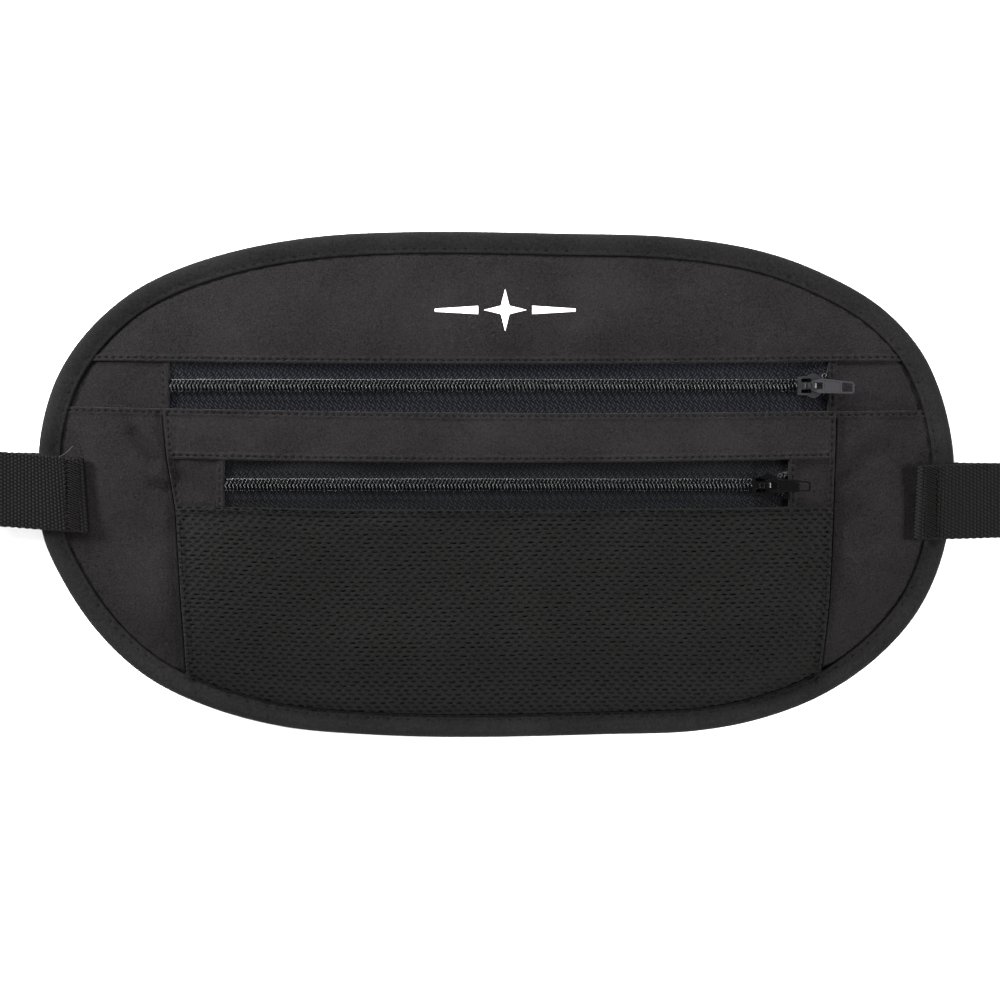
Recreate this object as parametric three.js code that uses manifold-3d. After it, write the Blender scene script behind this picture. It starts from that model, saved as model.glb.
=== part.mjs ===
// A slim zipped money belt, lying on its back: +X is the belt's width, +Y the top
// edge of the pouch, +Z the face turned away from the wearer. Millimetres.
// The table is z = 0, and the origin is under the middle of the whole belt.
import * as THREE from 'three';
import { mergeVertices } from 'three/addons/utils/BufferGeometryUtils.js';
import Module from 'manifold-3d';

const wasm = await Module();
wasm.setup();

// ---- driving dimensions ----
const GAP = 0.3;
const CLOTH = 0.6;
const LINING = 0.25;
const PADDING = 1.2;
const PADDING_INSET = 11;
const LINING_INSET = 13;
// Well outside the pouch on every side, for the solids that cut its sheets.
const FAR = 170;
const TALL = [-1, 30];

// Pouch outline, counter-clockwise from the right-hand end.
const OUTLINE_POINTS = [
  [152.9, 3], [152.2, 15.5], [147.8, 33.2], [140.9, 46.6], [127.8, 60.1], [108, 71.3],
  [87.8, 78.4], [60, 82.8], [20, 84.1], [-30, 84.6], [-62, 82.8], [-90, 77.6],
  [-112.2, 69.8], [-126, 61.5], [-138.8, 49.1], [-147.6, 34.9], [-152.4, 17.5],
  [-153.2, 2], [-151.8, -16.5], [-145.5, -31.6], [-134, -48.8], [-118, -63.8],
  [-98.8, -73.6], [-72, -81], [-40, -83.9], [-10, -84.6], [35, -83.7], [68, -82.4],
  [90, -78], [110, -70], [127.8, -57.6], [141.2, -42.2], [149.3, -23.5],
];
const OUTLINE_STEPS = 80;

// Bound edge: a folded tape round the rim of every full panel.
const BINDING_WIDTH = 7.2;
const BINDING_HEIGHT = 4.6;
const BINDING_WALL = 1.1;
const BINDING_LIP = 0.5;
const BINDING_ROUND = 0.7;
const PANEL_INSET = 1.5;

// Height of the panels. They leave the binding, then rise to a flat crown.
const BACK_Z = 0.95;
const FRONT_EDGE_Z = 2.7;
const FRONT_Z = 10.6;
const RIM_START = 7.5;
const RIM_RUN = 28;
const FRONT_RINGS = [PANEL_INSET, RIM_START, 12, 18, 25, RIM_START + RIM_RUN];
const POCKET_STANDOFF = 0.6;
const POCKET_DEPTH = 4.3;
const POCKET_EDGE_RUN = 17;
const POCKET_Z = FRONT_Z + POCKET_STANDOFF + POCKET_DEPTH + CLOTH;

// Patch pocket on the front: side edges from top to bottom, and its seams.
const POCKET_LEFT = [[-111.2, 23.6], [-109.5, 8], [-106.9, -8.5], [-104.2, -52], [-103, -90]];
const POCKET_RIGHT = [[106, -90], [110.8, -38.5], [112.2, -8.5], [112.5, 8], [113.2, 23.6]];
const POCKET_TOP = 23.6;
const BAND_BOTTOM = 7.2;
const MESH_TOP = -8.6;

// Zips: chain line, window, slider place.
const TAPE_REACH = 10.5;
const TAPE_CORNER = [26, 7.2];
const TAPE_HEIGHT = 0.6;
const TAPE_START = 0.5;
const COIL_WIDTH = 1.85;
const COIL_HEIGHT = 1.4;
const CHAIN_DROP = 0.3;
const CHAIN_SPREAD = 2.4;
// The chain parts between these distances in front of the slider's middle.
const CHAIN_PARTING = [0.2, 3.6];
const UPPER_ZIP = { y: 32.35, left: -110.6, right: 112, windowLeft: -108.8, windowRight: 110.2,
  slider: 104.7, panelZ: FRONT_Z };
const LOWER_ZIP = { y: -0.8, left: -93, right: 100, windowLeft: -90.2, windowRight: 96.8,
  slider: 89.2, panelZ: POCKET_Z };

// Sliders and pulls, in a frame whose origin is the middle of the chain.
const SLIDER_PLAN = [[-4.5, -3], [-1.2, -3.3], [0.5, -4.1], [2.6, -3.7], [4.1, -1.8], [4.5, 0],
  [4.1, 1.8], [2.6, 3.7], [0.5, 4.1], [-1.2, 3.3], [-4.5, 3]];
const SLIDER_PLATE = 0.9;
const SLIDER_TOP = 1;
const SLIDER_BOTTOM = -1.9;
const SLIDER_WEDGE = [[0.9, 0], [2.4, -0.9], [4, -1], [4, 1], [2.4, 0.9]];
const SLIDER_RAIL = { left: -4.5, right: -1.4, inner: 2.4, outer: 3, low: -0.7 };
const CROWN = [[-2.6, 1.7], [-2.5, 2.9], [-1.7, 3.6], [1.1, 3.6], [1.7, 2.9], [1.8, 1.7],
  [1, 1.7], [1, 2.7], [0.7, 3], [-0.3, 3], [-0.6, 2.7], [-0.6, 1.7]];
const CROWN_WIDTH = 2.2;
// How far solids reach into each other where they are joined.
const SUNK = 0.2;
const PULL_PIVOT = { x: 0.3, z: 2.45 };
const PULL_THICK = 0.7;
const PULL_NECK = 1.8;
const PULL_SHOULDER = 1.6;
const PULL_WINDOW = { right: 3.9, half: 1.45 };
const UPPER_PULL = { length: 13.8, width: 5, tip: 5, hole: [9.8, 12.7, 1.4] };
const LOWER_PULL = { length: 14.6, width: 5.1, tip: 3.3, hole: [10.6, 13, 0.9] };

// Webbing.
const WEB_WIDTH = 25;
const WEB = 1.4;
const FOLD_RADIUS = (WEB + GAP) / 2;
const BELT_END = 284;
const UNDER_STRAP_Y = -0.3;
const UNDER_FLAT = 14.6;
const UNDER_RUN = 40;
const UNDER_RISE = 1.8;

// Middle lines of the straps as [x, z].
const TURN_Z = 4.3;
const LEFT_END = [[-146, 8]];
const LEFT_FOLD = [-138, 9.65];
const LEFT_RUN = [[-146, 9.7], [-151, 9.4], [-157, 8.8], [-164, 8.4], [-170, 8.6], [-175, 8.95]];
const LEFT_BACK = [[-177, 3.85], [-174, 4.4], [-171, 5.6], [-168, 6.1]];
const RIGHT_END = [[147.5, 7.5]];
const RIGHT_FOLD = [141.2, 8.8];
const RIGHT_RUN = [[147.5, 9.2], [152, 9], [158, 8.4], [166, 7.2], [185, 5.2], [215, 4.4],
  [245, 5.6], [268, 7.5]];
const UNDER_XS = [240, 80, -80, -240];
const FEED_RUN = [[-270, 7], [-255, 5.4], [-243, 4.4], [-235, 3.9]];
const TAIL_RUN = [[-233, 8.4], [-237, 7.1], [-244, 6.6], [-252, 6.9], [-259, 7.7], [-266, 8.8]];
// The straps seen from above: each passes a place at a slope, and the long one then
// drifts sideways towards the line of its return run.
const LEFT_COURSE = { x: -165.5, y: -1.5, slope: -0.08 };
const RIGHT_COURSE = { x: 167.8, y: -5.3, slope: 0.028, drift: -4.5, from: 175, to: 275 };

// Close zigzag stitches on the sewn strap ends.
const TACK = 0.35;
const TACK_WIDTH = 23.5;
const LEFT_TACK = [[-143.2, 10.05], [-138.3, 10.52]];
const RIGHT_TACK = [[142.6, 9.65], [146.6, 9.35]];

// Side-release buckle. It lies on the return run of the webbing.
const BUCKLE_Y = -0.4;
const BUCKLE_Z = 6.4;
const BUCKLE_THICK = 9;
const BUCKLE_HALF = 16;
const BAR_RADIUS = 1.6;
const LOOP_RADIUS = BAR_RADIUS + GAP + WEB / 2;
const FEMALE_BAR_X = -179.5;
const BUCKLE_MOUTH_X = -212;
const MALE_BAR_X = -229.5;
const PRONG_ROOT_X = -209;
const PRONG_TIP_X = -192;
const CAVITY_HALF = [13.2, 3.1];
const BAR_SLOT = 6.6;
const SLOT_HALF = 13.2;
const CAVITY_END = -190;
const SIDE_WINDOW = [-206, -192.5];
const TONGUE = { end: -193, half: 2 };
const SHOULDER_HALF = 12.4;
const INSERT_HALF = CAVITY_HALF[1] - 0.5;
// One prong, from its root to its barb; the other is its mirror image.
const PRONG = [[PRONG_ROOT_X, 8.2], [PRONG_TIP_X, 8.9], [PRONG_TIP_X, 11.6], [-194.4, 13.4],
  [-200, 15.6], [-203.4, 15.6], [-203.4, 12.2], [PRONG_ROOT_X, 11.6]];

// Keeper loop on the doubled webbing.
const KEEPER_X = -246;
const KEEPER_Z = 5.75;
const KEEPER = { length: 8, width: 29, height: 7.6, wall: 1.2 };

// ---- materials ----
const COLOURS = {
  cloth: 0x343134, binding: 0x302e30, mesh: 0x242424, tape: 0x242529, coil: 0x2c2c31,
  webbing: 0x242121, thread: 0x1b1a1a, foam: 0x4a4a4c, greyMetal: 0x4f4e53,
  blackMetal: 0x151516, plastic: 0x1c1c1d,
};
const FINISHES = {
  greyMetal: [0.45, 0.3], blackMetal: [0.25, 0.2], plastic: [0.5, 0], coil: [0.5, 0],
};

const belt = new THREE.Group();

function add(name, geometry, finish, position = [0, 0, 0]) {
  const [roughness, metalness] = FINISHES[finish] ?? [0.9, 0];
  const material = new THREE.MeshStandardMaterial({ color: COLOURS[finish], roughness, metalness });
  const mesh = new THREE.Mesh(geometry, material);
  mesh.name = name;
  mesh.position.set(...position);
  belt.add(mesh);
}

// ---- solids ----
function solidOf(geometry) {
  const bare = geometry.clone();
  bare.deleteAttribute('normal');
  bare.deleteAttribute('uv');
  const merged = mergeVertices(bare, 1e-4);
  return new wasm.Manifold(new wasm.Mesh({
    numProp: 3,
    vertProperties: new Float32Array(merged.attributes.position.array),
    triVerts: new Uint32Array(merged.index.array),
  }));
}

function geometryOf(solid) {
  const { vertProperties, triVerts, numProp } = solid.getMesh();
  const positions = [];
  for (let i = 0; i < vertProperties.length; i += numProp) {
    positions.push(...vertProperties.slice(i, i + 3));
  }
  return meshOf(positions, [...triVerts]);
}

function meshOf(positions, index) {
  const geometry = new THREE.BufferGeometry();
  geometry.setAttribute('position', new THREE.Float32BufferAttribute(positions, 3));
  geometry.setIndex(index);
  geometry.computeVertexNormals();
  return geometry;
}

function common(first, ...others) {
  return geometryOf(others.reduce((solid, g) => solid.intersect(solidOf(g)), solidOf(first)));
}

function cut(first, ...others) {
  return geometryOf(others.reduce((solid, g) => solid.subtract(solidOf(g)), solidOf(first)));
}

function join(first, ...others) {
  return geometryOf(others.reduce((solid, g) => solid.add(solidOf(g)), solidOf(first)));
}

// A flat outline raised from one height to another.
function prism(points, low, high) {
  const shape = new THREE.Shape(points.map(([x, y]) => new THREE.Vector2(x, y)));
  const geometry = new THREE.ExtrudeGeometry(shape, { depth: high - low, bevelEnabled: false });
  return geometry.translate(0, 0, low);
}

// A side view in X and Z, given a width across Y.
function sidePrism(points, width) {
  return prism(points.map(([x, z]) => [x, z]), -width / 2, width / 2).rotateX(Math.PI / 2);
}

function box(low, high) {
  const size = high.map((value, axis) => value - low[axis]);
  const middle = high.map((value, axis) => (value + low[axis]) / 2);
  return new THREE.BoxGeometry(...size).translate(...middle);
}

// Two matching surfaces, each a list of rows of points, closed at their rims.
function slab(topRows, bottomRows) {
  const rows = topRows.length;
  const count = topRows[0].length;
  const positions = [...topRows, ...bottomRows].flat(2);
  const top = (r, i) => r * count + i;
  const bottom = (r, i) => (rows + r) * count + i;
  const index = [];
  const quad = (a, b, c, d) => index.push(a, b, c, a, c, d);
  for (let r = 0; r + 1 < rows; r += 1) {
    for (let i = 0; i + 1 < count; i += 1) {
      quad(top(r, i), top(r, i + 1), top(r + 1, i + 1), top(r + 1, i));
      quad(bottom(r, i), bottom(r + 1, i), bottom(r + 1, i + 1), bottom(r, i + 1));
    }
    quad(bottom(r, 0), top(r, 0), top(r + 1, 0), bottom(r + 1, 0));
    quad(top(r, count - 1), bottom(r, count - 1), bottom(r + 1, count - 1), top(r + 1, count - 1));
  }
  for (let i = 0; i + 1 < count; i += 1) {
    quad(top(0, i), bottom(0, i), bottom(0, i + 1), top(0, i + 1));
    quad(top(rows - 1, i + 1), bottom(rows - 1, i + 1), bottom(rows - 1, i), top(rows - 1, i));
  }
  return meshOf(positions, index);
}

// A height field over a grid of x and y values, with its own thickness.
function field(xs, ys, topHeight, thickness) {
  const rows = (drop) => ys.map((y) => xs.map((x) => [x, y, topHeight(x, y) - drop]));
  return slab(rows(0), rows(thickness));
}

// Webbing laid along stations [x, z, y], flat side up, with rounded turns.
function webbing(stations, width = WEB_WIDTH, thickness = WEB) {
  const side = (s, i) => {
    const before = stations[Math.max(0, i - 1)];
    const after = stations[Math.min(stations.length - 1, i + 1)];
    const length = Math.hypot(after[0] - before[0], after[1] - before[1]);
    const normal = [-(after[1] - before[1]) / length, (after[0] - before[0]) / length];
    return stationAt(stations[i], normal, s * thickness / 2, width);
  };
  const rows = (s) => stations.map((_, i) => side(s, i));
  const heading = stations[1][0] - stations[0][0];
  return heading > 0 ? slabBetween(rows(1), rows(-1)) : slabBetween(rows(-1), rows(1));
}

function stationAt([x, z, y], normal, offset, width) {
  const at = [x + normal[0] * offset, z + normal[1] * offset];
  return [[at[0], y - width / 2, at[1]], [at[0], y + width / 2, at[1]]];
}

// A slab whose faces point out whichever way its rows run.
function slabBetween(topRows, bottomRows) {
  const geometry = slab(topRows, bottomRows);
  const volume = signedVolume(geometry);
  return volume > 0 ? geometry : slab(bottomRows, topRows);
}

function signedVolume(geometry) {
  const p = geometry.attributes.position;
  const at = (i) => new THREE.Vector3().fromBufferAttribute(p, i);
  let sum = 0;
  for (let i = 0; i < geometry.index.count; i += 3) {
    const [a, b, c] = [0, 1, 2].map((k) => at(geometry.index.array[i + k]));
    sum += a.dot(b.cross(c));
  }
  return sum;
}

// Points [x, z] of a turn round a centre, between two angles in degrees.
function turn(centreX, centreZ, radiusX, radiusZ, from, to, steps) {
  return Array.from({ length: steps + 1 }, (_, i) => {
    const angle = THREE.MathUtils.degToRad(from + (to - from) * i / steps);
    return [centreX + radiusX * Math.cos(angle), centreZ + radiusZ * Math.sin(angle)];
  });
}

// ---- shape of the pouch ----
const outlineCurve = new THREE.CatmullRomCurve3(
  OUTLINE_POINTS.map(([x, y]) => new THREE.Vector3(x, y, 0)), true, 'centripetal');
const OUTLINE = outlineCurve.getSpacedPoints(OUTLINE_STEPS).slice(0, OUTLINE_STEPS);

// The outline moved inwards, square to itself.
function insetLoop(inset) {
  return OUTLINE.map((point, i) => {
    const before = OUTLINE[(i + OUTLINE_STEPS - 1) % OUTLINE_STEPS];
    const after = OUTLINE[(i + 1) % OUTLINE_STEPS];
    const along = after.clone().sub(before).normalize();
    return [point.x - along.y * inset, point.y + along.x * inset];
  });
}

function insetAt(x, y) {
  const point = new THREE.Vector3(x, y, 0);
  const nearest = new THREE.Vector3();
  const distances = OUTLINE.map((start, i) => {
    const edge = new THREE.Line3(start, OUTLINE[(i + 1) % OUTLINE_STEPS]);
    return edge.closestPointToPoint(point, true, nearest).distanceTo(point);
  });
  return Math.min(...distances);
}

// A quick rise that levels off: 0 at 0, 1 from 1 onwards.
function crownOf(t) {
  const s = THREE.MathUtils.clamp(t, 0, 1);
  return s * (2 - s);
}

// How far the pouch stands off the table where it lies on the return strap.
function liftAt(y) {
  const away = Math.abs(y - UNDER_STRAP_Y);
  return UNDER_RISE * (1 - THREE.MathUtils.smoothstep(away, UNDER_FLAT, UNDER_RUN));
}

function frontHeight(y, inset) {
  const crown = crownOf((inset - RIM_START) / RIM_RUN);
  return (FRONT_EDGE_Z + liftAt(y)) * (1 - crown) + FRONT_Z * crown;
}

function pocketHeight(x, y) {
  const inset = insetAt(x, y);
  const sides = crownOf((x - POCKET_LEFT[2][0]) / POCKET_EDGE_RUN)
    * crownOf((POCKET_RIGHT[2][0] - x) / POCKET_EDGE_RUN);
  const top = crownOf((POCKET_TOP - y) / POCKET_EDGE_RUN);
  const rim = crownOf((inset - RIM_START) / RIM_RUN);
  return frontHeight(y, inset) + POCKET_STANDOFF + CLOTH + POCKET_DEPTH * sides * top * rim;
}

function yokeHem(x) {
  return 40 + 0.00007 * x * x;
}

function frontHem(x) {
  return 23.7 - 0.0045 * x + 0.000085 * x * x;
}

// Points along a hem, from left to right, with an offset in y.
function hemPoints(hem, left, right, offset = 0) {
  const steps = 8;
  return Array.from({ length: steps + 1 }, (_, i) => {
    const x = left + (right - left) * i / steps;
    return [x, hem(x) + offset];
  });
}

// ---- panels ----
// The whole front as one domed sheet, before its panels are cut from it.
function frontSheet() {
  const loops = FRONT_RINGS.map((inset) => insetLoop(inset));
  const surface = (drop) => loops.map((loop, ring) => loop.map(([x, y]) => (
    [x, y, frontHeight(y, FRONT_RINGS[ring]) - drop])));
  return domedSolid(surface(0), surface(CLOTH));
}

// Rings from the rim inwards, over and under, closed by a point in the middle.
function domedSolid(topRings, bottomRings) {
  const count = topRings[0].length;
  const rings = topRings.length;
  const middleOf = (ring) => [0, 0, ring[0][2]];
  const positions = [
    ...topRings.flat(2), ...middleOf(topRings[rings - 1]),
    ...bottomRings.flat(2), ...middleOf(bottomRings[rings - 1]),
  ];
  const under = rings * count + 1;
  const index = [];
  const quad = (a, b, c, d) => index.push(a, b, c, a, c, d);
  for (let i = 0; i < count; i += 1) {
    const j = (i + 1) % count;
    for (let r = 0; r + 1 < rings; r += 1) {
      const [a, b, c, d] = [r * count + i, r * count + j, (r + 1) * count + j, (r + 1) * count + i];
      quad(a, b, c, d);
      quad(under + a, under + d, under + c, under + b);
    }
    const last = (rings - 1) * count;
    index.push(last + i, last + j, rings * count);
    index.push(under + last + j, under + last + i, under + rings * count);
    quad(under + i, under + j, j, i);
  }
  return meshOf(positions, index);
}

// A layer of the back, which bends over the return strap.
function backLayer(inset, low, thickness) {
  const edge = [UNDER_RUN, 36, 32, 27, 22.5, 18.5, UNDER_FLAT];
  const ys = [-95, ...edge.map((d) => UNDER_STRAP_Y - d),
    ...edge.toReversed().map((d) => UNDER_STRAP_Y + d), 95];
  const sheet = field([-160, 160], ys, (x, y) => low + thickness + liftAt(y), thickness);
  return common(sheet, prism(insetLoop(inset), -1, 20));
}

function addPanels() {
  const sheet = frontSheet();
  const above = [...hemPoints(yokeHem, -FAR, FAR), [FAR, FAR], [-FAR, FAR]];
  const below = [[-FAR, -FAR], [FAR, -FAR], ...hemPoints(frontHem, -FAR, FAR).reverse()];
  const tab = (left, right) => [...hemPoints(frontHem, left, right, GAP),
    ...hemPoints(yokeHem, left, right, -GAP).reverse()];
  add('top_panel', common(sheet, prism(above, ...TALL)), 'cloth');
  add('front_panel', common(sheet, prism(below, ...TALL)), 'cloth');
  add('upper_tab_left', common(sheet, prism(tab(-FAR, UPPER_ZIP.windowLeft), ...TALL)), 'cloth');
  add('upper_tab_right', common(sheet, prism(tab(UPPER_ZIP.windowRight, FAR), ...TALL)), 'cloth');

  add('back_panel', backLayer(PANEL_INSET, BACK_Z, CLOTH), 'cloth');
  const paddingZ = BACK_Z + CLOTH + GAP;
  add('back_padding', backLayer(PADDING_INSET, paddingZ, PADDING), 'foam');
  add('main_lining', backLayer(LINING_INSET, paddingZ + PADDING + GAP, LINING), 'cloth');
}

function addPocket() {
  const xs = [-114, -106.9, -102, -96, -89, -60, 0, 60, 95, 101, 107, 112.2, 115];
  const ys = [26, POCKET_TOP, 18, 12, 6, -10, -42, -50, -57, -63, -69, -74, -78, -88];
  const sheet = field(xs, ys.reverse(), pocketHeight, CLOTH);
  const patch = common(sheet, prism(insetLoop(BINDING_WIDTH + GAP), ...TALL),
    prism([...POCKET_LEFT, ...POCKET_RIGHT], ...TALL));
  const rows = (low, high, left = -FAR, right = FAR) => (
    prism([[left, low], [right, low], [right, high], [left, high]], ...TALL));
  add('pocket_band', common(patch, rows(BAND_BOTTOM, FAR)), 'cloth');
  add('mesh_panel', common(patch, rows(-FAR, MESH_TOP)), 'mesh');
  const tabLow = MESH_TOP + GAP;
  const tabHigh = BAND_BOTTOM - GAP;
  add('lower_tab_left', common(patch, rows(tabLow, tabHigh, -FAR, LOWER_ZIP.windowLeft)), 'cloth');
  add('lower_tab_right', common(patch, rows(tabLow, tabHigh, LOWER_ZIP.windowRight)), 'cloth');
}

function addBinding() {
  const [h, w, lip, wall] = [BINDING_HEIGHT, BINDING_WIDTH, BINDING_LIP, BINDING_WALL];
  const round = BINDING_ROUND;
  const section = [[w, 0], [round, 0], [0, round], [0, h - round], [round, h], [w, h],
    [w, h - lip], [wall, h - lip], [wall, lip], [w, lip]];
  const loops = section.map(([inset, z]) => insetLoop(inset).map(([x, y]) => [x, y, z + liftAt(y)]));
  const count = section.length;
  const index = [];
  for (let s = 0; s < count; s += 1) {
    for (let i = 0; i < OUTLINE_STEPS; i += 1) {
      const next = (s + 1) % count;
      const j = (i + 1) % OUTLINE_STEPS;
      const [a, b] = [s * OUTLINE_STEPS + i, s * OUTLINE_STEPS + j];
      const [d, c] = [next * OUTLINE_STEPS + i, next * OUTLINE_STEPS + j];
      index.push(a, b, c, a, c, d);
    }
  }
  add('edge_binding', meshOf(loops.flat(2), index), 'binding');
}

// ---- zips ----
// Half a zip lies on one side of its chain line: side is 1 above it, -1 below.
// The two halves part in front of the slider's wedge.
function chainHalf(zip, side, inner, outer, tape) {
  const [part, parted] = CHAIN_PARTING.map((ahead) => zip.slider + ahead);
  const spread = CHAIN_SPREAD * 0.5;
  const left = tape ? zip.left : zip.windowLeft + GAP;
  const right = tape ? zip.right : zip.windowRight - GAP;
  const inside = [[left, inner], [part, inner], [parted, inner + spread],
    [right, inner + CHAIN_SPREAD]];
  const [cornerX, cornerY] = TAPE_CORNER;
  const outside = tape
    ? [[right, outer - cornerY], [right - cornerX, outer], [left + cornerX, outer],
      [left, outer - cornerY]]
    : [[right, outer + CHAIN_SPREAD], [parted, outer + spread], [part, outer], [left, outer]];
  const points = [...inside, ...outside].map(([x, y]) => [x, zip.y + side * y]);
  return side > 0 ? points : points.reverse();
}

function addZip(name, zip) {
  const coilTop = zip.panelZ + COIL_HEIGHT / 2 - CHAIN_DROP;
  const coilLow = coilTop - COIL_HEIGHT;
  const tapeTop = coilLow - GAP;
  for (const [half, side] of [['top', 1], ['bottom', -1]]) {
    const tape = chainHalf(zip, side, TAPE_START, TAPE_REACH, true);
    add(`${name}_tape_${half}`, prism(tape, tapeTop - TAPE_HEIGHT, tapeTop), 'tape');
    const coil = chainHalf(zip, side, GAP / 2, GAP / 2 + COIL_WIDTH, false);
    add(`${name}_coil_${half}`, prism(coil, coilLow, coilTop), 'coil');
  }
  return (coilTop + coilLow) / 2;
}

function sliderBody() {
  const top = prism(SLIDER_PLAN, SLIDER_TOP, SLIDER_TOP + SLIDER_PLATE);
  const bottom = prism(SLIDER_PLAN, SLIDER_BOTTOM - SLIDER_PLATE, SLIDER_BOTTOM);
  const wedge = prism(SLIDER_WEDGE, SLIDER_BOTTOM - SUNK, SLIDER_TOP + SUNK);
  const { left, right, inner, outer, low } = SLIDER_RAIL;
  const rail = (from, to) => box([left, from, low], [right, to, SLIDER_TOP + SUNK]);
  const crown = sidePrism(CROWN, CROWN_WIDTH);
  return join(top, bottom, wedge, rail(inner, outer), rail(-outer, -inner), crown);
}

// The pull's origin is its pivot, and it lies along +X.
function pullTab({ length, width, tip, hole }) {
  const end = PULL_THICK / 2;
  const waist = length * 0.45;
  const half = [[-end, PULL_NECK], [PULL_SHOULDER, width / 2], [waist, width / 2],
    [length - 1, tip / 2], [length, tip / 2 - 1]];
  const plan = [...half.map(([x, y]) => [x, -y]), ...half.toReversed()];
  const plate = prism(plan, -end, end);
  const window = box([end, -PULL_WINDOW.half, -1], [PULL_WINDOW.right, PULL_WINDOW.half, 1]);
  const slot = box([hole[0], -hole[2], -1], [hole[1], hole[2], 1]);
  return cut(plate, window, slot);
}

function addZips() {
  const metals = { upper: 'greyMetal', lower: 'blackMetal' };
  const pulls = { upper: UPPER_PULL, lower: LOWER_PULL };
  for (const [name, zip] of Object.entries({ upper: UPPER_ZIP, lower: LOWER_ZIP })) {
    const middle = addZip(name, zip);
    const at = [zip.slider, zip.y, middle];
    add(`${name}_slider`, sliderBody(), metals[name], at);
    const pivot = [at[0] + PULL_PIVOT.x, at[1], at[2] + PULL_PIVOT.z];
    add(`${name}_pull`, pullTab(pulls[name]), metals[name], pivot);
  }
}

// ---- straps ----
// Stations of a strap: [x, z] points with y worked out from x.
function strapPath(points, yAt) {
  return points.map(([x, z]) => [x, z, yAt(x)]);
}

function smooth(points, steps) {
  const curve = new THREE.CatmullRomCurve3(
    points.map(([x, z]) => new THREE.Vector3(x, z, 0)), false, 'centripetal');
  return curve.getSpacedPoints(steps).map((p) => [p.x, p.y]);
}

function courseAt({ x: place, y, slope }, x) {
  return y + slope * (x - place);
}

const leftStrapY = (x) => Math.min(BUCKLE_Y, courseAt(LEFT_COURSE, x));
const rightStrapY = (x) => courseAt(RIGHT_COURSE, x)
  + RIGHT_COURSE.drift * THREE.MathUtils.smoothstep(x, RIGHT_COURSE.from, RIGHT_COURSE.to);
const underStrapY = (x) => (
  THREE.MathUtils.mapLinear(x, -BELT_END, BELT_END, BUCKLE_Y, rightStrapY(BELT_END)));
const tailY = () => BUCKLE_Y;

// Left strap: its end is folded under and sewn down over the binding. It runs round the
// female buckle's bar and back under itself.
function addLeftStrap() {
  const run = smooth([...LEFT_RUN, [FEMALE_BAR_X, BUCKLE_Z + LOOP_RADIUS]], 12);
  const loop = turn(FEMALE_BAR_X, BUCKLE_Z, LOOP_RADIUS, LOOP_RADIUS, 90, 270, 8).slice(1);
  const fold = turn(...LEFT_FOLD, FOLD_RADIUS, FOLD_RADIUS, -90, 90, 6);
  const path = [...LEFT_END, ...fold, ...run, ...loop, ...LEFT_BACK];
  add('strap_left', webbing(strapPath(path, leftStrapY)), 'webbing');
}

// Right strap: over the binding, out to the right-hand turn and back flat under the
// pouch. It goes on round the left-hand turn to the male buckle's bar.
function addLongStrap() {
  const webZ = WEB / 2;
  const radius = TURN_Z - webZ;
  const turnX = BELT_END - radius - webZ;
  const fold = turn(...RIGHT_FOLD, FOLD_RADIUS, FOLD_RADIUS, 270, 90, 6);
  const run = smooth([...RIGHT_RUN, [turnX, TURN_Z + radius]], 22);
  const rightTurn = turn(turnX, TURN_Z, radius, radius, 90, -90, 8);
  const over = strapPath([...RIGHT_END, ...fold, ...run, ...rightTurn.slice(1)], rightStrapY);
  const under = strapPath(UNDER_XS.map((x) => [x, webZ]), underStrapY);
  add('strap_right', webbing([...over, ...under]), 'webbing');

  const leftTurn = turn(-turnX, TURN_Z, radius, radius, -90, -270, 8);
  const feedEnd = [MALE_BAR_X, BUCKLE_Z - LOOP_RADIUS];
  const feed = smooth([[-turnX + 1, TURN_Z + radius], ...FEED_RUN, feedEnd], 12);
  const start = [UNDER_XS.at(-1) - GAP, webZ];
  add('strap_feed', webbing([...strapPath([start, ...leftTurn], underStrapY),
    ...strapPath(feed, tailY)]), 'webbing');
}

// Round the male buckle's bar, and back over itself as the loose tail.
function addTail() {
  const loop = turn(MALE_BAR_X, BUCKLE_Z, LOOP_RADIUS, LOOP_RADIUS, -84, 90, 8);
  const tail = smooth([loop.at(-1), ...TAIL_RUN], 10).slice(1);
  add('strap_tail', webbing(strapPath([...loop, ...tail], tailY)), 'webbing');
}

// A pad of close zigzag stitches on top of each sewn strap end.
function addBartacks() {
  const above = WEB / 2 + GAP + TACK / 2;
  const tack = (points, y) => webbing(points.map(([x, z]) => [x, z + above, y]), TACK_WIDTH, TACK);
  add('bartack_left', tack(LEFT_TACK, leftStrapY(LEFT_TACK[0][0])), 'thread');
  add('bartack_right', tack(RIGHT_TACK, rightStrapY(RIGHT_TACK[0][0])), 'thread');
}

// ---- buckle ----
// Frames are in the buckle's own axes: x as on the belt, y and z from its middle line.
function roundedPlan(left, right, half, corner) {
  return [[left, -half + corner], [left + corner, -half], [right - corner, -half],
    [right, -half + corner], [right, half - corner], [right - corner, half], [left + corner, half],
    [left, half - corner]];
}

// The opening for the webbing reaches past the bar, which is put back as a round one.
function barOpening(barX, towards) {
  const ends = [barX - towards * 3, barX + towards * BAR_SLOT];
  return box([Math.min(...ends), -SLOT_HALF, -10], [Math.max(...ends), SLOT_HALF, 10]);
}

function roundBar(barX) {
  return new THREE.CylinderGeometry(BAR_RADIUS, BAR_RADIUS, 2 * SLOT_HALF + 1, 16)
    .translate(barX, 0, 0);
}

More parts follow.
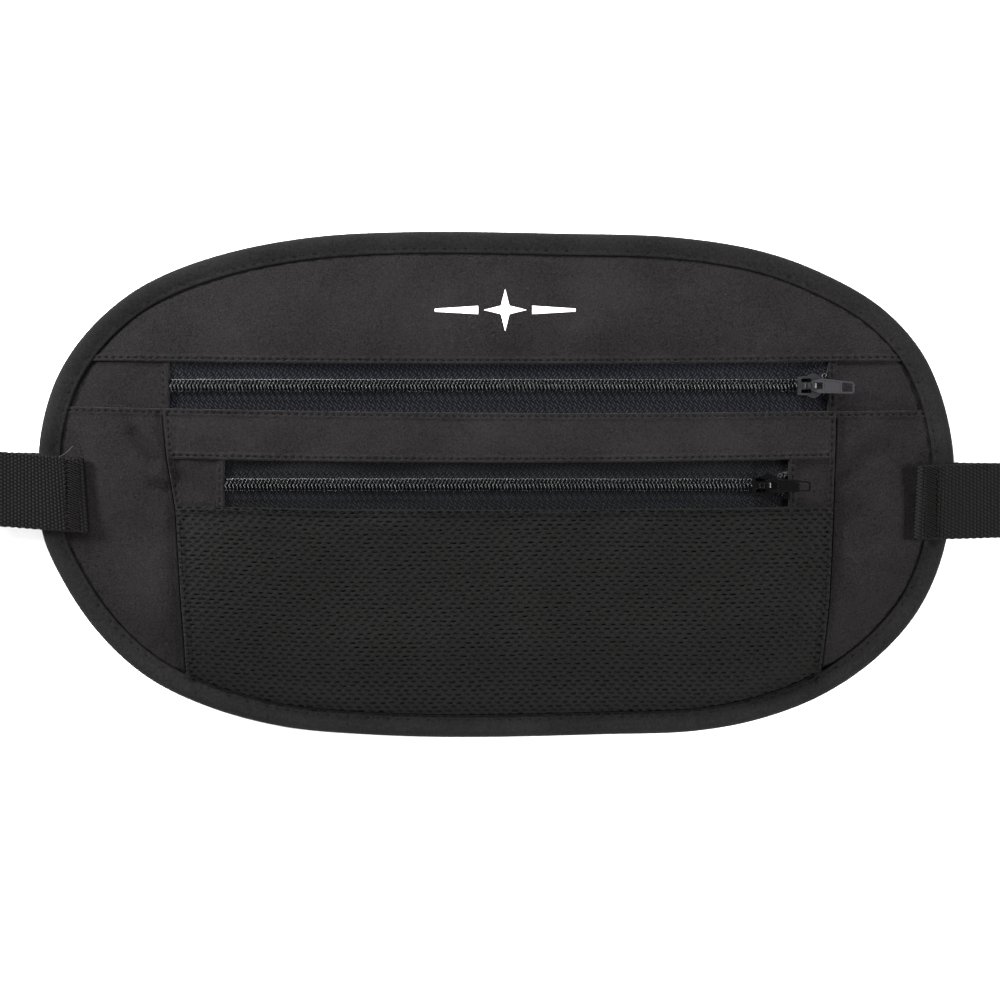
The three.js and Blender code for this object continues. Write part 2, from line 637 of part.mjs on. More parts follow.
function addBuckle() {
  const half = BUCKLE_THICK / 2;
  const at = [0, BUCKLE_Y, BUCKLE_Z];
  const [cavityY, cavityZ] = CAVITY_HALF;
  const shell = prism(roundedPlan(BUCKLE_MOUTH_X, FEMALE_BAR_X + BAR_RADIUS, BUCKLE_HALF, 3), -half, half);
  const cavity = box([BUCKLE_MOUTH_X - 1, -cavityY, -cavityZ], [CAVITY_END, cavityY, cavityZ]);
  const windows = box([SIDE_WINDOW[0], -20, -cavityZ], [SIDE_WINDOW[1], 20, cavityZ]);
  const female = cut(shell, cavity, windows, barOpening(FEMALE_BAR_X, -1));
  add('buckle_female', join(female, roundBar(FEMALE_BAR_X)), 'plastic', at);

  const baseRight = BUCKLE_MOUTH_X - GAP;
  const base = prism(roundedPlan(MALE_BAR_X - BAR_RADIUS, baseRight, BUCKLE_HALF, 2.5), -half, half);
  const insert = (half, end) => box([baseRight - 2, -half, -INSERT_HALF], [end, half, INSERT_HALF]);
  const tongue = insert(TONGUE.half, TONGUE.end);
  const shoulder = insert(SHOULDER_HALF, PRONG_ROOT_X - GAP);
  const male = cut(join(base, tongue, shoulder), barOpening(MALE_BAR_X, 1));
  add('buckle_male', join(male, roundBar(MALE_BAR_X)), 'plastic', at);

  // Each prong springs outwards, and its barb catches in the side window.
  for (const [name, side] of [['buckle_prong_top', 1], ['buckle_prong_bottom', -1]]) {
    const plan = PRONG.map(([x, y]) => [x, y * side]);
    const points = side > 0 ? plan : plan.reverse();
    add(name, prism(points, -INSERT_HALF, INSERT_HALF), 'plastic', at);
  }
}

function addKeeper() {
  const { length, width, height, wall } = KEEPER;
  const outer = box([-length / 2, -width / 2, -height / 2], [length / 2, width / 2, height / 2]);
  const inner = box([-length, -width / 2 + wall, -height / 2 + wall],
    [length, width / 2 - wall, height / 2 - wall]);
  add('strap_keeper', cut(outer, inner), 'plastic', [KEEPER_X, BUCKLE_Y, KEEPER_Z]);
}

addPanels();
addPocket();
addBinding();
addZips();
addLeftStrap();
addLongStrap();
addTail();
addBartacks();
addBuckle();
addKeeper();

export default belt;
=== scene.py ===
import math

import bmesh
import bpy
import numpy as np
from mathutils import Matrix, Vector
from mathutils.geometry import delaunay_2d_cdt
from mathutils.kdtree import KDTree


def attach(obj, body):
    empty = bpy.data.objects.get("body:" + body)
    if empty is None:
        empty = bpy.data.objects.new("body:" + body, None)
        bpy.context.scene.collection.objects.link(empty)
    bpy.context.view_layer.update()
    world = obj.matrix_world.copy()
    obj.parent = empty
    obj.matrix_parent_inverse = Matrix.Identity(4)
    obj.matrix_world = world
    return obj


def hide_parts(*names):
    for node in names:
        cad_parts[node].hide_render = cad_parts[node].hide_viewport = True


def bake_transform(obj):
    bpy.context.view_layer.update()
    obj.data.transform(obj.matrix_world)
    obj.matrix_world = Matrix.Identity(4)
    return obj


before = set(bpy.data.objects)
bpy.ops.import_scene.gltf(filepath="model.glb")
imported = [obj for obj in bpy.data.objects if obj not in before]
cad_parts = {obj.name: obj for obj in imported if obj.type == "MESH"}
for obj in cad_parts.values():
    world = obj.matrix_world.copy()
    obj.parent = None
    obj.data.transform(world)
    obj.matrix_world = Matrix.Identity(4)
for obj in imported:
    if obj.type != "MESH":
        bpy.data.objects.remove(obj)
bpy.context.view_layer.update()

# A slim zipped money belt, lying on its back. Lengths below are in millimetres, and every
# mesh is scaled to metres as it is made.
MM = 0.001
rng = np.random.default_rng(11)

# ---- shape of the pouch, as in the CAD ----
OUTLINE_POINTS = np.array([
    [152.9, 3], [152.2, 15.5], [147.8, 33.2], [140.9, 46.6], [127.8, 60.1], [108, 71.3],
    [87.8, 78.4], [60, 82.8], [20, 84.1], [-30, 84.6], [-62, 82.8], [-90, 77.6],
    [-112.2, 69.8], [-126, 61.5], [-138.8, 49.1], [-147.6, 34.9], [-152.4, 17.5],
    [-153.2, 2], [-151.8, -16.5], [-145.5, -31.6], [-134, -48.8], [-118, -63.8],
    [-98.8, -73.6], [-72, -81], [-40, -83.9], [-10, -84.6], [35, -83.7], [68, -82.4],
    [90, -78], [110, -70], [127.8, -57.6], [141.2, -42.2], [149.3, -23.5]])
CLOTH = 0.6
BINDING_WIDTH = 7.2
PANEL_INSET = 1.5
BACK_Z = 0.95
FRONT_EDGE_Z = 2.7
FRONT_Z = 10.6
RIM_START = 7.5
RIM_RUN = 28
# the webbing's return run lies under the pouch and raises its middle
LIFT = 1.8
LIFT_Y = -0.3
LIFT_FLAT = 14.6
LIFT_END = 40
POCKET_DEPTH = 4.3
POCKET_STANDOFF = 0.6
POCKET_TOP = 23.6
POCKET_RUN = 17
POCKET_X = (-106.9, 112.2)
PATCH_LEFT = np.array([[-111.2, 23.6], [-109.5, 8], [-106.9, -8.5], [-104.2, -52], [-103, -90]])
PATCH_RIGHT = np.array([[113.2, 23.6], [112.5, 8], [112.2, -8.5], [110.8, -38.5], [106, -90]])
UPPER = {"name": "upper", "y": 32.8, "window": (-108.8, 110.2), "slider": 104.7,
         "coil": (9.6, 11.0), "tape": (8.7, 9.3), "ends": (-110.6, 112.0)}
LOWER = {"name": "lower", "y": -0.35, "window": (-90.2, 96.8), "slider": 89.2,
         "coil": (15.1, 16.5), "tape": (14.2, 14.8), "ends": (-93.0, 100.0)}


def smoothstep(t):
    t = np.clip(t, 0, 1)
    return t * t * (3 - 2 * t)


def crown(t):
    t = np.clip(t, 0, 1)
    return t * (2 - t)


def curve_part(q, per):
    """Points from the second to the third of four, on a centripetal Catmull-Rom curve."""
    d = [max(1e-6, math.sqrt(np.linalg.norm(q[k + 1] - q[k]))) for k in range(3)]
    start = (q[1] - q[0]) / d[0] - (q[2] - q[0]) / (d[0] + d[1]) + (q[2] - q[1]) / d[1]
    end = (q[2] - q[1]) / d[1] - (q[3] - q[1]) / (d[1] + d[2]) + (q[3] - q[2]) / d[2]
    start, end = start * d[1], end * d[1]
    return [q[1] * (2 * s**3 - 3 * s**2 + 1) + q[2] * (3 * s**2 - 2 * s**3)
            + start * (s**3 - 2 * s**2 + s) + end * (s**3 - s**2) for s in np.arange(per) / per]


def closed_curve(points):
    """A smooth curve through a closed list of points."""
    count = len(points)
    parts = [curve_part([points[(i + k) % count] for k in (-1, 0, 1, 2)], 20) for i in range(count)]
    return np.vstack(parts)


def run_along(line):
    """How far along a line each of its points lies."""
    return np.concatenate([[0], np.cumsum(np.linalg.norm(np.diff(line, axis=0), axis=1))])


def spaced(line, step, closed=False):
    """The same line with points a fixed step apart; a closed one repeats no point."""
    line = np.asarray(line, float)
    if closed:
        line = np.vstack([line, line[:1]])
    at = run_along(line)
    want = np.linspace(0, at[-1], max(2, int(round(at[-1] / step)) + 1))
    made = np.stack([np.interp(want, at, line[:, k]) for k in range(line.shape[1])], 1)
    return made[:-1] if closed else made


def leftwards(line, closed=False):
    """Unit vectors that point to the left of a line."""
    along = np.roll(line, -1, 0) - np.roll(line, 1, 0) if closed else np.gradient(line, axis=0)
    along /= np.maximum(np.linalg.norm(along, axis=1), 1e-9)[:, None]
    return np.stack([-along[:, 1], along[:, 0]], 1)


def offset_line(line, distance, closed=False):
    """The line moved to its left, which is inwards for a counter-clockwise loop."""
    line = np.asarray(line, float)
    return line + distance * leftwards(line, closed)


def inset_loop(inset, step=2.0):
    """The outline moved inwards, square to itself."""
    return offset_line(spaced(closed_curve(OUTLINE_POINTS), step, closed=True), inset, closed=True)


def closed_length(loop):
    return float(run_along(np.vstack([loop, loop[:1]]))[-1])


OUTLINE_STEP = 2.0
OUTLINE = inset_loop(0, OUTLINE_STEP)
HALF_WIDTH = 153
HALF_HEIGHT = 84


def segment_distance(points, line, closed=False):
    """Distance from each point to a line of segments."""
    line = np.asarray(line, float)
    starts = line if closed else line[:-1]
    ends = np.roll(line, -1, 0) if closed else line[1:]
    found = np.full(len(points), 1e9)
    step = ends - starts
    long = np.maximum((step**2).sum(1), 1e-12)
    for at in range(0, len(points), 4000):
        p = points[at:at + 4000, None, :]
        t = np.clip(((p - starts) * step).sum(2) / long, 0, 1)
        away = p - (starts + t[..., None] * step)
        found[at:at + 4000] = np.sqrt((away**2).sum(2).min(1))
    return found


GRID_X = np.arange(-160, 161, 1.0)
GRID_Y = np.arange(-92, 93, 1.0)
_grid = np.meshgrid(GRID_X, GRID_Y)
INSET_GRID = segment_distance(np.stack([axis.ravel() for axis in _grid], 1), OUTLINE, True)
INSET_GRID = INSET_GRID.reshape(_grid[0].shape)


def inset_at(x, y):
    """How far inside the outline a point lies, read from the grid."""
    u = np.clip(x - GRID_X[0], 0, len(GRID_X) - 1.001)
    v = np.clip(y - GRID_Y[0], 0, len(GRID_Y) - 1.001)
    i, j = u.astype(int), v.astype(int)
    a, b = u - i, v - j
    return ((INSET_GRID[j, i] * (1 - a) + INSET_GRID[j, i + 1] * a) * (1 - b)
            + (INSET_GRID[j + 1, i] * (1 - a) + INSET_GRID[j + 1, i + 1] * a) * b)


def angle_at(x, y):
    return np.arctan2(y / HALF_HEIGHT, x / HALF_WIDTH)


_outline_angle = np.unwrap(angle_at(*OUTLINE.T))
_outline_run = np.arange(len(OUTLINE)) * OUTLINE_STEP


def run_at(x, y):
    """About how far round the outline a point lies."""
    return np.interp(angle_at(x, y), _outline_angle, _outline_run, period=2 * math.pi)


def lift(y):
    return LIFT * (1 - smoothstep((np.abs(y - LIFT_Y) - LIFT_FLAT) / (LIFT_END - LIFT_FLAT)))


def rim_swell(x, y):
    return crown((inset_at(x, y) - RIM_START) / RIM_RUN)


def front_base(x, y):
    c = rim_swell(x, y)
    return (FRONT_EDGE_Z + lift(y)) * (1 - c) + FRONT_Z * c


def pocket_base(x, y):
    sides = crown((x - POCKET_X[0]) / POCKET_RUN) * crown((POCKET_X[1] - x) / POCKET_RUN)
    top = crown((POCKET_TOP - y) / POCKET_RUN)
    return front_base(x, y) + POCKET_STANDOFF + CLOTH + POCKET_DEPTH * sides * top * rim_swell(x, y)


# ---- soft waves and creases, the same for every layer of the front ----
_wave_count = 16
_wave_angle = rng.uniform(0, math.pi, _wave_count)
_wave_size = rng.uniform(17, 62, _wave_count)
_wave_phase = rng.uniform(0, 2 * math.pi, _wave_count)
CREASES = [  # from, to, width, depth
    ((-122.5, 18.8), (-112.0, 6.4), 2.1, 1.0),
    ((-116.8, 0.2), (-108.6, -2.4), 1.8, 0.75),
    ((-106.4, 4.4), (-96.4, -4.4), 2.2, 0.8),
    ((-99.0, 14.8), (-91.0, 9.0), 2.6, 0.55),
    ((113.2, 10.4), (125.7, 12.4), 0.6, 0.3),
    ((113.0, 1.4), (120.5, 8.0), 2.8, 0.8),
    ((119.5, 7.4), (132.5, 13.6), 3.2, 0.75),
    ((118.0, -24.0), (131.0, -17.0), 4.5, 0.5),
    ((-141.0, 33.0), (-126.0, 27.0), 4.0, 0.35),
    ((-128.0, -12.0), (-112.0, -22.0), 5.0, 0.5),
    ((30.0, 62.0), (78.0, 70.0), 7.0, 0.4),
    ((-98.0, 62.0), (-60.0, 72.0), 7.0, 0.4),
    ((-60.0, 17.0), (-30.0, 14.0), 4.0, 0.25),
    ((20.0, 18.0), (52.0, 13.0), 4.0, 0.25),
]


def waves(x, y):
    total = np.zeros_like(x)
    for angle, size, phase in zip(_wave_angle, _wave_size, _wave_phase):
        across = x * math.cos(angle) + y * math.sin(angle)
        total += size / 60 * np.sin(across * 2 * math.pi / size + phase)
    total *= 0.5
    for (x0, y0), (x1, y1), width, depth in CREASES:
        dx, dy = x1 - x0, y1 - y0
        long = math.hypot(dx, dy)
        t = ((x - x0) * dx + (y - y0) * dy) / long
        s = ((y - y0) * dx - (x - x0) * dy) / long
        ends = smoothstep(t / (0.3 * long) + 0.35) * smoothstep((long - t) / (0.3 * long) + 0.35)
        valley = -np.exp(-(s / width)**2) + 0.55 * np.exp(-((s - 1.7 * width) / width)**2)
        total += 1.9 * depth * valley * ends
    near_zip = np.ones_like(x)
    for zipper in (UPPER, LOWER):
        left, right = zipper["window"]
        beside = np.maximum(0, np.maximum(left - x, x - right))
        away = np.hypot(beside, y - zipper["y"])
        near_zip *= 0.25 + 0.75 * smoothstep((away - 5) / 10)
    inset = inset_at(x, y)
    return total * near_zip * smoothstep((inset - 6.5) / 10)


def seam_puckers(x, y):
    """Small gathers that the bound edge's stitches pull into the cloth."""
    inset = inset_at(x, y)
    run = run_at(x, y)
    beat = np.sin(run * 2 * math.pi / 6.8 + 1.3 * np.sin(run / 23)) * (0.6 + 0.4 * np.sin(run / 31))
    return 0.16 * beat * np.exp(-((inset - 8.0) / 3.4)**2)


def patch_x(line, y):
    """Where a side of the patch pocket lies at a height."""
    return np.interp(y, line[::-1, 1], line[::-1, 0])


def patch_seam(x, y):
    """The valley where the pocket's side seams pull the front panel in."""
    total = 0 * x
    for line, side in ((PATCH_LEFT, -1), (PATCH_RIGHT, 1)):
        out = (x - patch_x(line, y)) * side
        total = total + 0.6 * np.exp(-((out - 0.7) / 1.3)**2)
    return total * smoothstep((POCKET_TOP + 2 - y) / 3)


def front_z(x, y):
    return front_base(x, y) + waves(x, y) + seam_puckers(x, y) - patch_seam(x, y)


def pocket_z(x, y):
    calmer = 1 - 0.55 * smoothstep((-y - 8) / 12)
    return pocket_base(x, y) + waves(x, y) * calmer + seam_puckers(x, y)


def seam(level, slope, bow):
    """A hem's line across the pouch."""
    return lambda x: level + slope * x + bow * x * x


yoke_hem = seam(40, 0, 0.00007)
front_hem = seam(23.7, -0.0045, 0.000085)
band_hem = seam(7.1, 0, 0.00012)
mesh_hem = seam(-8.5, 0, 0.00012)


# ---- meshes ----


def mesh_of(name, points, quads=(), tris=()):
    """A mesh in metres from points in millimetres and arrays of faces."""
    mesh = bpy.data.meshes.new(name)
    points = np.asarray(points, float).reshape(-1, 3) * MM
    quads = np.asarray(quads, int).reshape(-1, 4)
    tris = np.asarray(tris, int).reshape(-1, 3)
    mesh.vertices.add(len(points))
    mesh.vertices.foreach_set("co", points.astype(np.float32).ravel())
    loops = np.concatenate([quads.ravel(), tris.ravel()]).astype(np.int32)
    mesh.loops.add(len(loops))
    mesh.loops.foreach_set("vertex_index", loops)
    mesh.polygons.add(len(quads) + len(tris))
    starts = np.concatenate([np.arange(len(quads)) * 4, len(quads) * 4 + np.arange(len(tris)) * 3])
    mesh.polygons.foreach_set("loop_start", starts.astype(np.int32))
    mesh.polygons.foreach_set("use_smooth", np.ones(len(starts), bool))
    mesh.update(calc_edges=True)
    mesh.validate()
    return mesh


def with_pit_shade(mesh, values):
    """Notes on each point how deep between the yarns it lies, for the material to paint shade there."""
    pit = mesh.attributes.new("pit", "FLOAT", "POINT")
    pit.data.foreach_set("value", np.asarray(values, np.float32))
    return mesh


def points_of(mesh):
    """A mesh's points, in metres."""
    points = np.zeros(len(mesh.vertices) * 3)
    mesh.vertices.foreach_get("co", points)
    return points.reshape(-1, 3)


def linked(name, data):
    """A new object in the scene."""
    obj = bpy.data.objects.new(name, data)
    bpy.context.scene.collection.objects.link(obj)
    return obj


def piece(name, mesh, material, nodes=(), body="root"):
    """One named piece, with its material and its body; the CAD parts that it replaces are hidden."""
    obj = linked(name, mesh)
    mesh.materials.clear()
    mesh.materials.append(material)
    if body is not None:
        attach(obj, body)
    if nodes:
        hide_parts(*nodes)
    return obj


def inside_polygon(points, polygon):
    x, y = points[:, 0], points[:, 1]
    found = np.zeros(len(points), bool)
    for (x0, y0), (x1, y1) in zip(polygon, np.roll(polygon, -1, 0)):
        if y0 == y1:
            continue
        crosses = (y0 > y) != (y1 > y)
        found ^= crosses & (x < (x1 - x0) * (y - y0) / (y1 - y0) + x0)
    return found


FINE_STEP = 0.62


def fill(polygon, spacing, fine, rim_step=1.1):
    """Points and triangles of a flat region. Along each line in fine they lie closer."""
    rim = spaced(polygon, rim_step, closed=True)
    tree = KDTree(len(rim))
    for i, (x, y) in enumerate(rim):
        tree.insert((x, y, 0), i)
    tree.balance()
    extra = []
    for line, offsets in fine:
        for offset in offsets:
            extra.append(spaced(offset_line(spaced(line, 1.0), offset), FINE_STEP))
    for offset in (0.1, 0.3):
        extra.append(offset_line(rim, offset, closed=True))
    extra = np.vstack(extra)
    extra = extra[inside_polygon(extra, rim)]
    extra = extra[segment_distance(extra, rim, True) > 0.06]
    low, high = rim.min(0), rim.max(0)
    lattice = []
    for k, y in enumerate(np.arange(low[1], high[1], spacing * 0.866)):
        x = np.arange(low[0] + (k % 2) * spacing / 2, high[0], spacing)
        lattice.append(np.stack([x, np.full(len(x), y)], 1))
    lattice = np.vstack(lattice)
    lattice = lattice[inside_polygon(lattice, rim)]
    near = np.array([tree.find((x, y, 0))[2] for x, y in lattice])
    lattice = lattice[near > 0.3 + spacing * 0.5]
    for line, offsets in fine:
        clear = max(map(abs, offsets)) + spacing * 0.4
        lattice = lattice[segment_distance(lattice, spaced(line, 3.0)) > clear]
    count = len(rim)
    edges = [(i, (i + 1) % count) for i in range(count)]
    made, _, faces, origins, _, _ = delaunay_2d_cdt(
        [Vector((float(x), float(y))) for x, y in np.vstack([rim, extra, lattice])], edges, [], 1, 1e-4)
    made = np.array([tuple(p) for p in made])
    faces = np.array([f for f in faces if len(f) == 3], int)
    rims = np.array([any(i < count for i in source) for source in origins])
    a, b, c = (made[faces[:, k]] for k in range(3))
    turn = (b[:, 0] - a[:, 0]) * (c[:, 1] - a[:, 1]) - (b[:, 1] - a[:, 1]) * (c[:, 0] - a[:, 0])
    faces[turn < 0] = faces[turn < 0][:, ::-1]
    return made, faces, rims, rim


def compact(points, faces):
    """Only the points that the faces use, and the faces numbered to match."""
    used, number = np.unique(faces, return_inverse=True)
    return points[used], number.reshape(faces.shape)


def two_skins(x, y, high, low, faces, rims):
    """An upper and a lower skin over the same triangles, sharing the points on their rim."""
    count = len(x)
    lower = np.arange(count) + np.where(rims, 0, count)
    points = np.vstack([np.stack([x, y, high], 1), np.stack([x, y, low], 1)])
    return compact(points, np.vstack([faces, lower[faces][:, ::-1]]))


def counter_clockwise(polygon):
    x, y = polygon[:, 0], polygon[:, 1]
    area = (x * np.roll(y, -1) - np.roll(x, -1) * y).sum()
    return polygon if area > 0 else polygon[::-1]


EDGE_ROUND = 0.34
STITCH_PITCH = 2.5
HEM_OFFSETS = (0.5, 0.8, 1.05, 1.3, 1.55, 1.85, 2.2, 2.6, 3.1)


def rounded(away, reach=EDGE_ROUND):
    """0 at an edge, rising like a quarter circle to 1 at reach and beyond."""
    t = np.minimum(away, reach) / reach
    return np.sqrt(np.clip(1 - (1 - t)**2, 0, 1))


class Hem:
    """A folded, stitched edge: the line, how far in the stitches lie and how thick the fold is."""

    def __init__(self, line, inward, stitch=1.27, fold=2.3, rise=0.7, trim=1.2):
        self.line = np.asarray(line, float)
        self.inward = inward  # +1 if the cloth lies to the left of the line's direction
        self.stitch = stitch
        self.fold = fold
        self.rise = rise
        step = self.line[-1] - self.line[0]
        self.direction = step / np.linalg.norm(step)
        row = spaced(offset_line(spaced(self.line, 1.0), inward * stitch), 0.25)
        cut = int(trim / 0.25)
        self.row = row[cut:-cut]
        self.phase = self.row[0] @ self.direction + 0.3 + 0.32 * STITCH_PITCH

    def fine(self):
        return (self.line, [self.inward * d for d in HEM_OFFSETS])

    def height(self, points):
        away = segment_distance(points, spaced(self.line, 1.5))
        bulge = self.rise * (1 - smoothstep((away - self.fold + 0.5) / 0.9))
        along = points @ self.direction
        beat = 0.5 + 0.5 * np.cos((along - self.phase) * 2 * math.pi / STITCH_PITCH)
        slow = 0.12 * np.sin(along / 5.1) * np.sin(along / 13.7 + 1)
        sunk = (0.1 + 0.62 * beat) * np.exp(-((away - self.stitch) / 0.5)**2)
        return bulge * (1 + slow) - sunk


def panel(name, polygon, height, hems=(), thickness=CLOTH, spacing=1.5, offset=0.0):
    """A sheet of cloth over a flat region, closed, with rounded rims and folded hems."""
    polygon = counter_clockwise(np.asarray(polygon, float))
    points, faces, rims, rim = fill(polygon, spacing, [hem.fine() for hem in hems])
    x, y = points[:, 0], points[:, 1]
    top = height(x, y) + offset
    low = top - thickness
    for hem in hems:
        top = top + hem.height(points)
    middle = (top + low) / 2
    half = (top - low) / 2 * rounded(segment_distance(points, rim, True))
    skins = two_skins(x, y, np.where(rims, middle, middle + half), middle - half, faces, rims)
    return mesh_of(name, skins[0], tris=skins[1])


def tubes(paths, radii, sides=6, up=(0, 0, 1)):
    """Closed round tubes along K centrelines of R points each, as points, quads and triangles."""
    paths = np.asarray(paths, float)
    radii = np.broadcast_to(np.asarray(radii, float), paths.shape[:2])
    along = np.gradient(paths, axis=1)
    along /= np.maximum(np.linalg.norm(along, axis=2), 1e-12)[..., None]
    side = np.cross(along, np.broadcast_to(np.asarray(up, float), paths.shape))
    side /= np.maximum(np.linalg.norm(side, axis=2), 1e-12)[..., None]
    over = np.cross(side, along)
    angle = 2 * math.pi * np.arange(sides) / sides
    ring = np.cos(angle)[:, None] * side[:, :, None, :] + np.sin(angle)[:, None] * over[:, :, None, :]
    count, rows = paths.shape[:2]
    skin = paths[:, :, None, :] + radii[..., None, None] * ring
    tips = np.stack([paths[:, 0] - along[:, 0] * radii[:, :1] * 0.5,
                     paths[:, -1] + along[:, -1] * radii[:, -1:] * 0.5], 1)
    points = np.concatenate([skin.reshape(count, rows * sides, 3), tips], 1)
    base = (np.arange(count) * (rows * sides + 2))[:, None, None]
    r = np.arange(rows - 1)[:, None] * sides
    i = np.arange(sides)[None, :]
    j = (i + 1) % sides
    quads = np.stack([r + i, r + sides + i, r + sides + j, r + j], -1)[None] + base[..., None]
    first, last = rows * sides, rows * sides + 1
    end = (rows - 1) * sides
    caps = np.concatenate([
        np.stack([np.full(sides, first), i[0], j[0]], -1),
        np.stack([np.full(sides, last), end + j[0], end + i[0]], -1)])[None] + base
    return points.reshape(-1, 3), quads.reshape(-1, 4), caps.reshape(-1, 3)


def joined(parts):
    """Several (points, quads, triangles) as one."""
    points, quads, tris, at = [], [], [], 0
    for p, q, t in parts:
        points.append(p)
        quads.append(np.asarray(q).reshape(-1, 4) + at)
        tris.append(np.asarray(t).reshape(-1, 3) + at)
        at += len(p)
    return np.vstack(points), np.vstack(quads), np.vstack(tris)


def stitch_row(line, height, pitch, share=0.64, radius=0.26, proud=0.05, keep=None):
    """Running stitches on a surface: each dips into its two holes."""
    at = run_along(line)
    starts = np.arange(0.3, at[-1] - pitch * share, pitch)
    starts = starts + rng.uniform(-0.06, 0.06, len(starts)) * pitch
    if keep is not None:
        starts = starts[keep(np.interp(starts + pitch / 3, at, line[:, 0]))]
    t = np.linspace(0, 1, 7)
    run = starts[:, None] + t * pitch * share
    x = np.interp(run, at, line[:, 0])
    y = np.interp(run, at, line[:, 1])
    y = y + rng.uniform(-0.07, 0.07, len(starts))[:, None] * (t - 0.5) * 2
    middle = height(x[:, 3], y[:, 3])
    z = middle[:, None] + proud + 0.05 * np.sin(math.pi * t) - 0.2 * (np.abs(t - 0.5) * 2)**3
    radii = radius * (0.55 + 0.45 * np.sin(math.pi * t)) * np.ones((len(starts), 1))
    return tubes(np.stack([x, y, z], 2), radii)


def stitched(name, rows, height, pitch=STITCH_PITCH, **more):
    made = joined([stitch_row(line, height, pitch, **more) for line in rows])
    return thread_piece(name, made)


def thread_piece(name, made):
    return piece(name, mesh_of(name, *made), THREAD)


# ---- solid parts ----


def prism(outline, low, high):
    """A flat outline raised from one height to another."""
    outline = counter_clockwise(np.asarray(outline, float))
    mesh = bmesh.new()
    bottom, top = ([mesh.verts.new((x * MM, y * MM, z * MM)) for x, y in outline] for z in (low, high))
    mesh.faces.new(bottom[::-1])
    mesh.faces.new(top)
    for i in range(len(outline)):
        mesh.faces.new((bottom[i - 1], bottom[i], top[i], top[i - 1]))
    made = bpy.data.meshes.new("prism")
    mesh.to_mesh(made)
    mesh.free()
    return made


def side_prism(outline, low, high):
    """An outline in X and Z, drawn out along Y."""
    made = prism(outline, low, high)
    for v in made.vertices:
        x, z, y = v.co
        v.co = (x, y, z)
    made.flip_normals()
    return made


def box_mesh(low, high):
    corners = [(low[0], low[1]), (high[0], low[1]), (high[0], high[1]), (low[0], high[1])]
    return prism(corners, low[2], high[2])


def applied(obj, *others):
    """The mesh that an object's modifiers make. It and the others are removed."""
    bpy.context.view_layer.update()
    evaluated = obj.evaluated_get(bpy.context.evaluated_depsgraph_get())
    made = bpy.data.meshes.new_from_object(evaluated)
    for used in (*others, obj):
        bpy.data.objects.remove(used)
    return made


def combine(base, joins=(), cuts=()):
    """Meshes joined to and cut from a base mesh."""
    obj = linked("combine", base)
    others = []
    for operation, group in (("UNION", joins), ("DIFFERENCE", cuts)):
        for mesh in group:
            others.append(linked("other", mesh))
            modifier = obj.modifiers.new(operation, "BOOLEAN")
            modifier.operation = operation
            modifier.solver = "EXACT"
            modifier.object = others[-1]
    return applied(obj, *others)


def moved(mesh, by, turn=0.0):
    """The mesh turned about Z in degrees, then shifted in millimetres."""
    c, s = math.cos(math.radians(turn)), math.sin(math.radians(turn))
    x, y, z = points_of(mesh).T
    made = np.stack([x * c - y * s, x * s + y * c, z], 1) + np.array(by) * MM
    mesh.vertices.foreach_set("co", made.ravel())
    mesh.update()
    return mesh


def merged(mesh, dissolve=False):
    """Points at the same place made one and, if asked, flat faces made whole."""
    work = bmesh.new()
    work.from_mesh(mesh)
    bmesh.ops.remove_doubles(work, verts=work.verts, dist=2e-6)
    if dissolve:
        bmesh.ops.dissolve_limit(work, angle_limit=math.radians(2), verts=work.verts, edges=work.edges)
    work.to_mesh(mesh)
    work.free()
    return mesh


SHARP = math.radians(32)


def cleaned(mesh, bevel):
    """Flat faces made whole, hard edges rounded, and shading smooth across the rounding."""
    merged(mesh, dissolve=True)
    mesh.polygons.foreach_set("use_smooth", np.ones(len(mesh.polygons), bool))
    mesh.set_sharp_from_angle(angle=SHARP)
    obj = linked("bevel", mesh)
    modifier = obj.modifiers.new("bevel", "BEVEL")
    modifier.width = bevel * MM
    modifier.segments = 3
    modifier.limit_method = "ANGLE"
    modifier.angle_limit = SHARP
    modifier.use_clamp_overlap = True
    modifier.harden_normals = True
    return applied(obj)


def cad_mesh(node):
    """A copy of a CAD node's mesh."""
    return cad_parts[node].data.copy()


# ---- materials ----


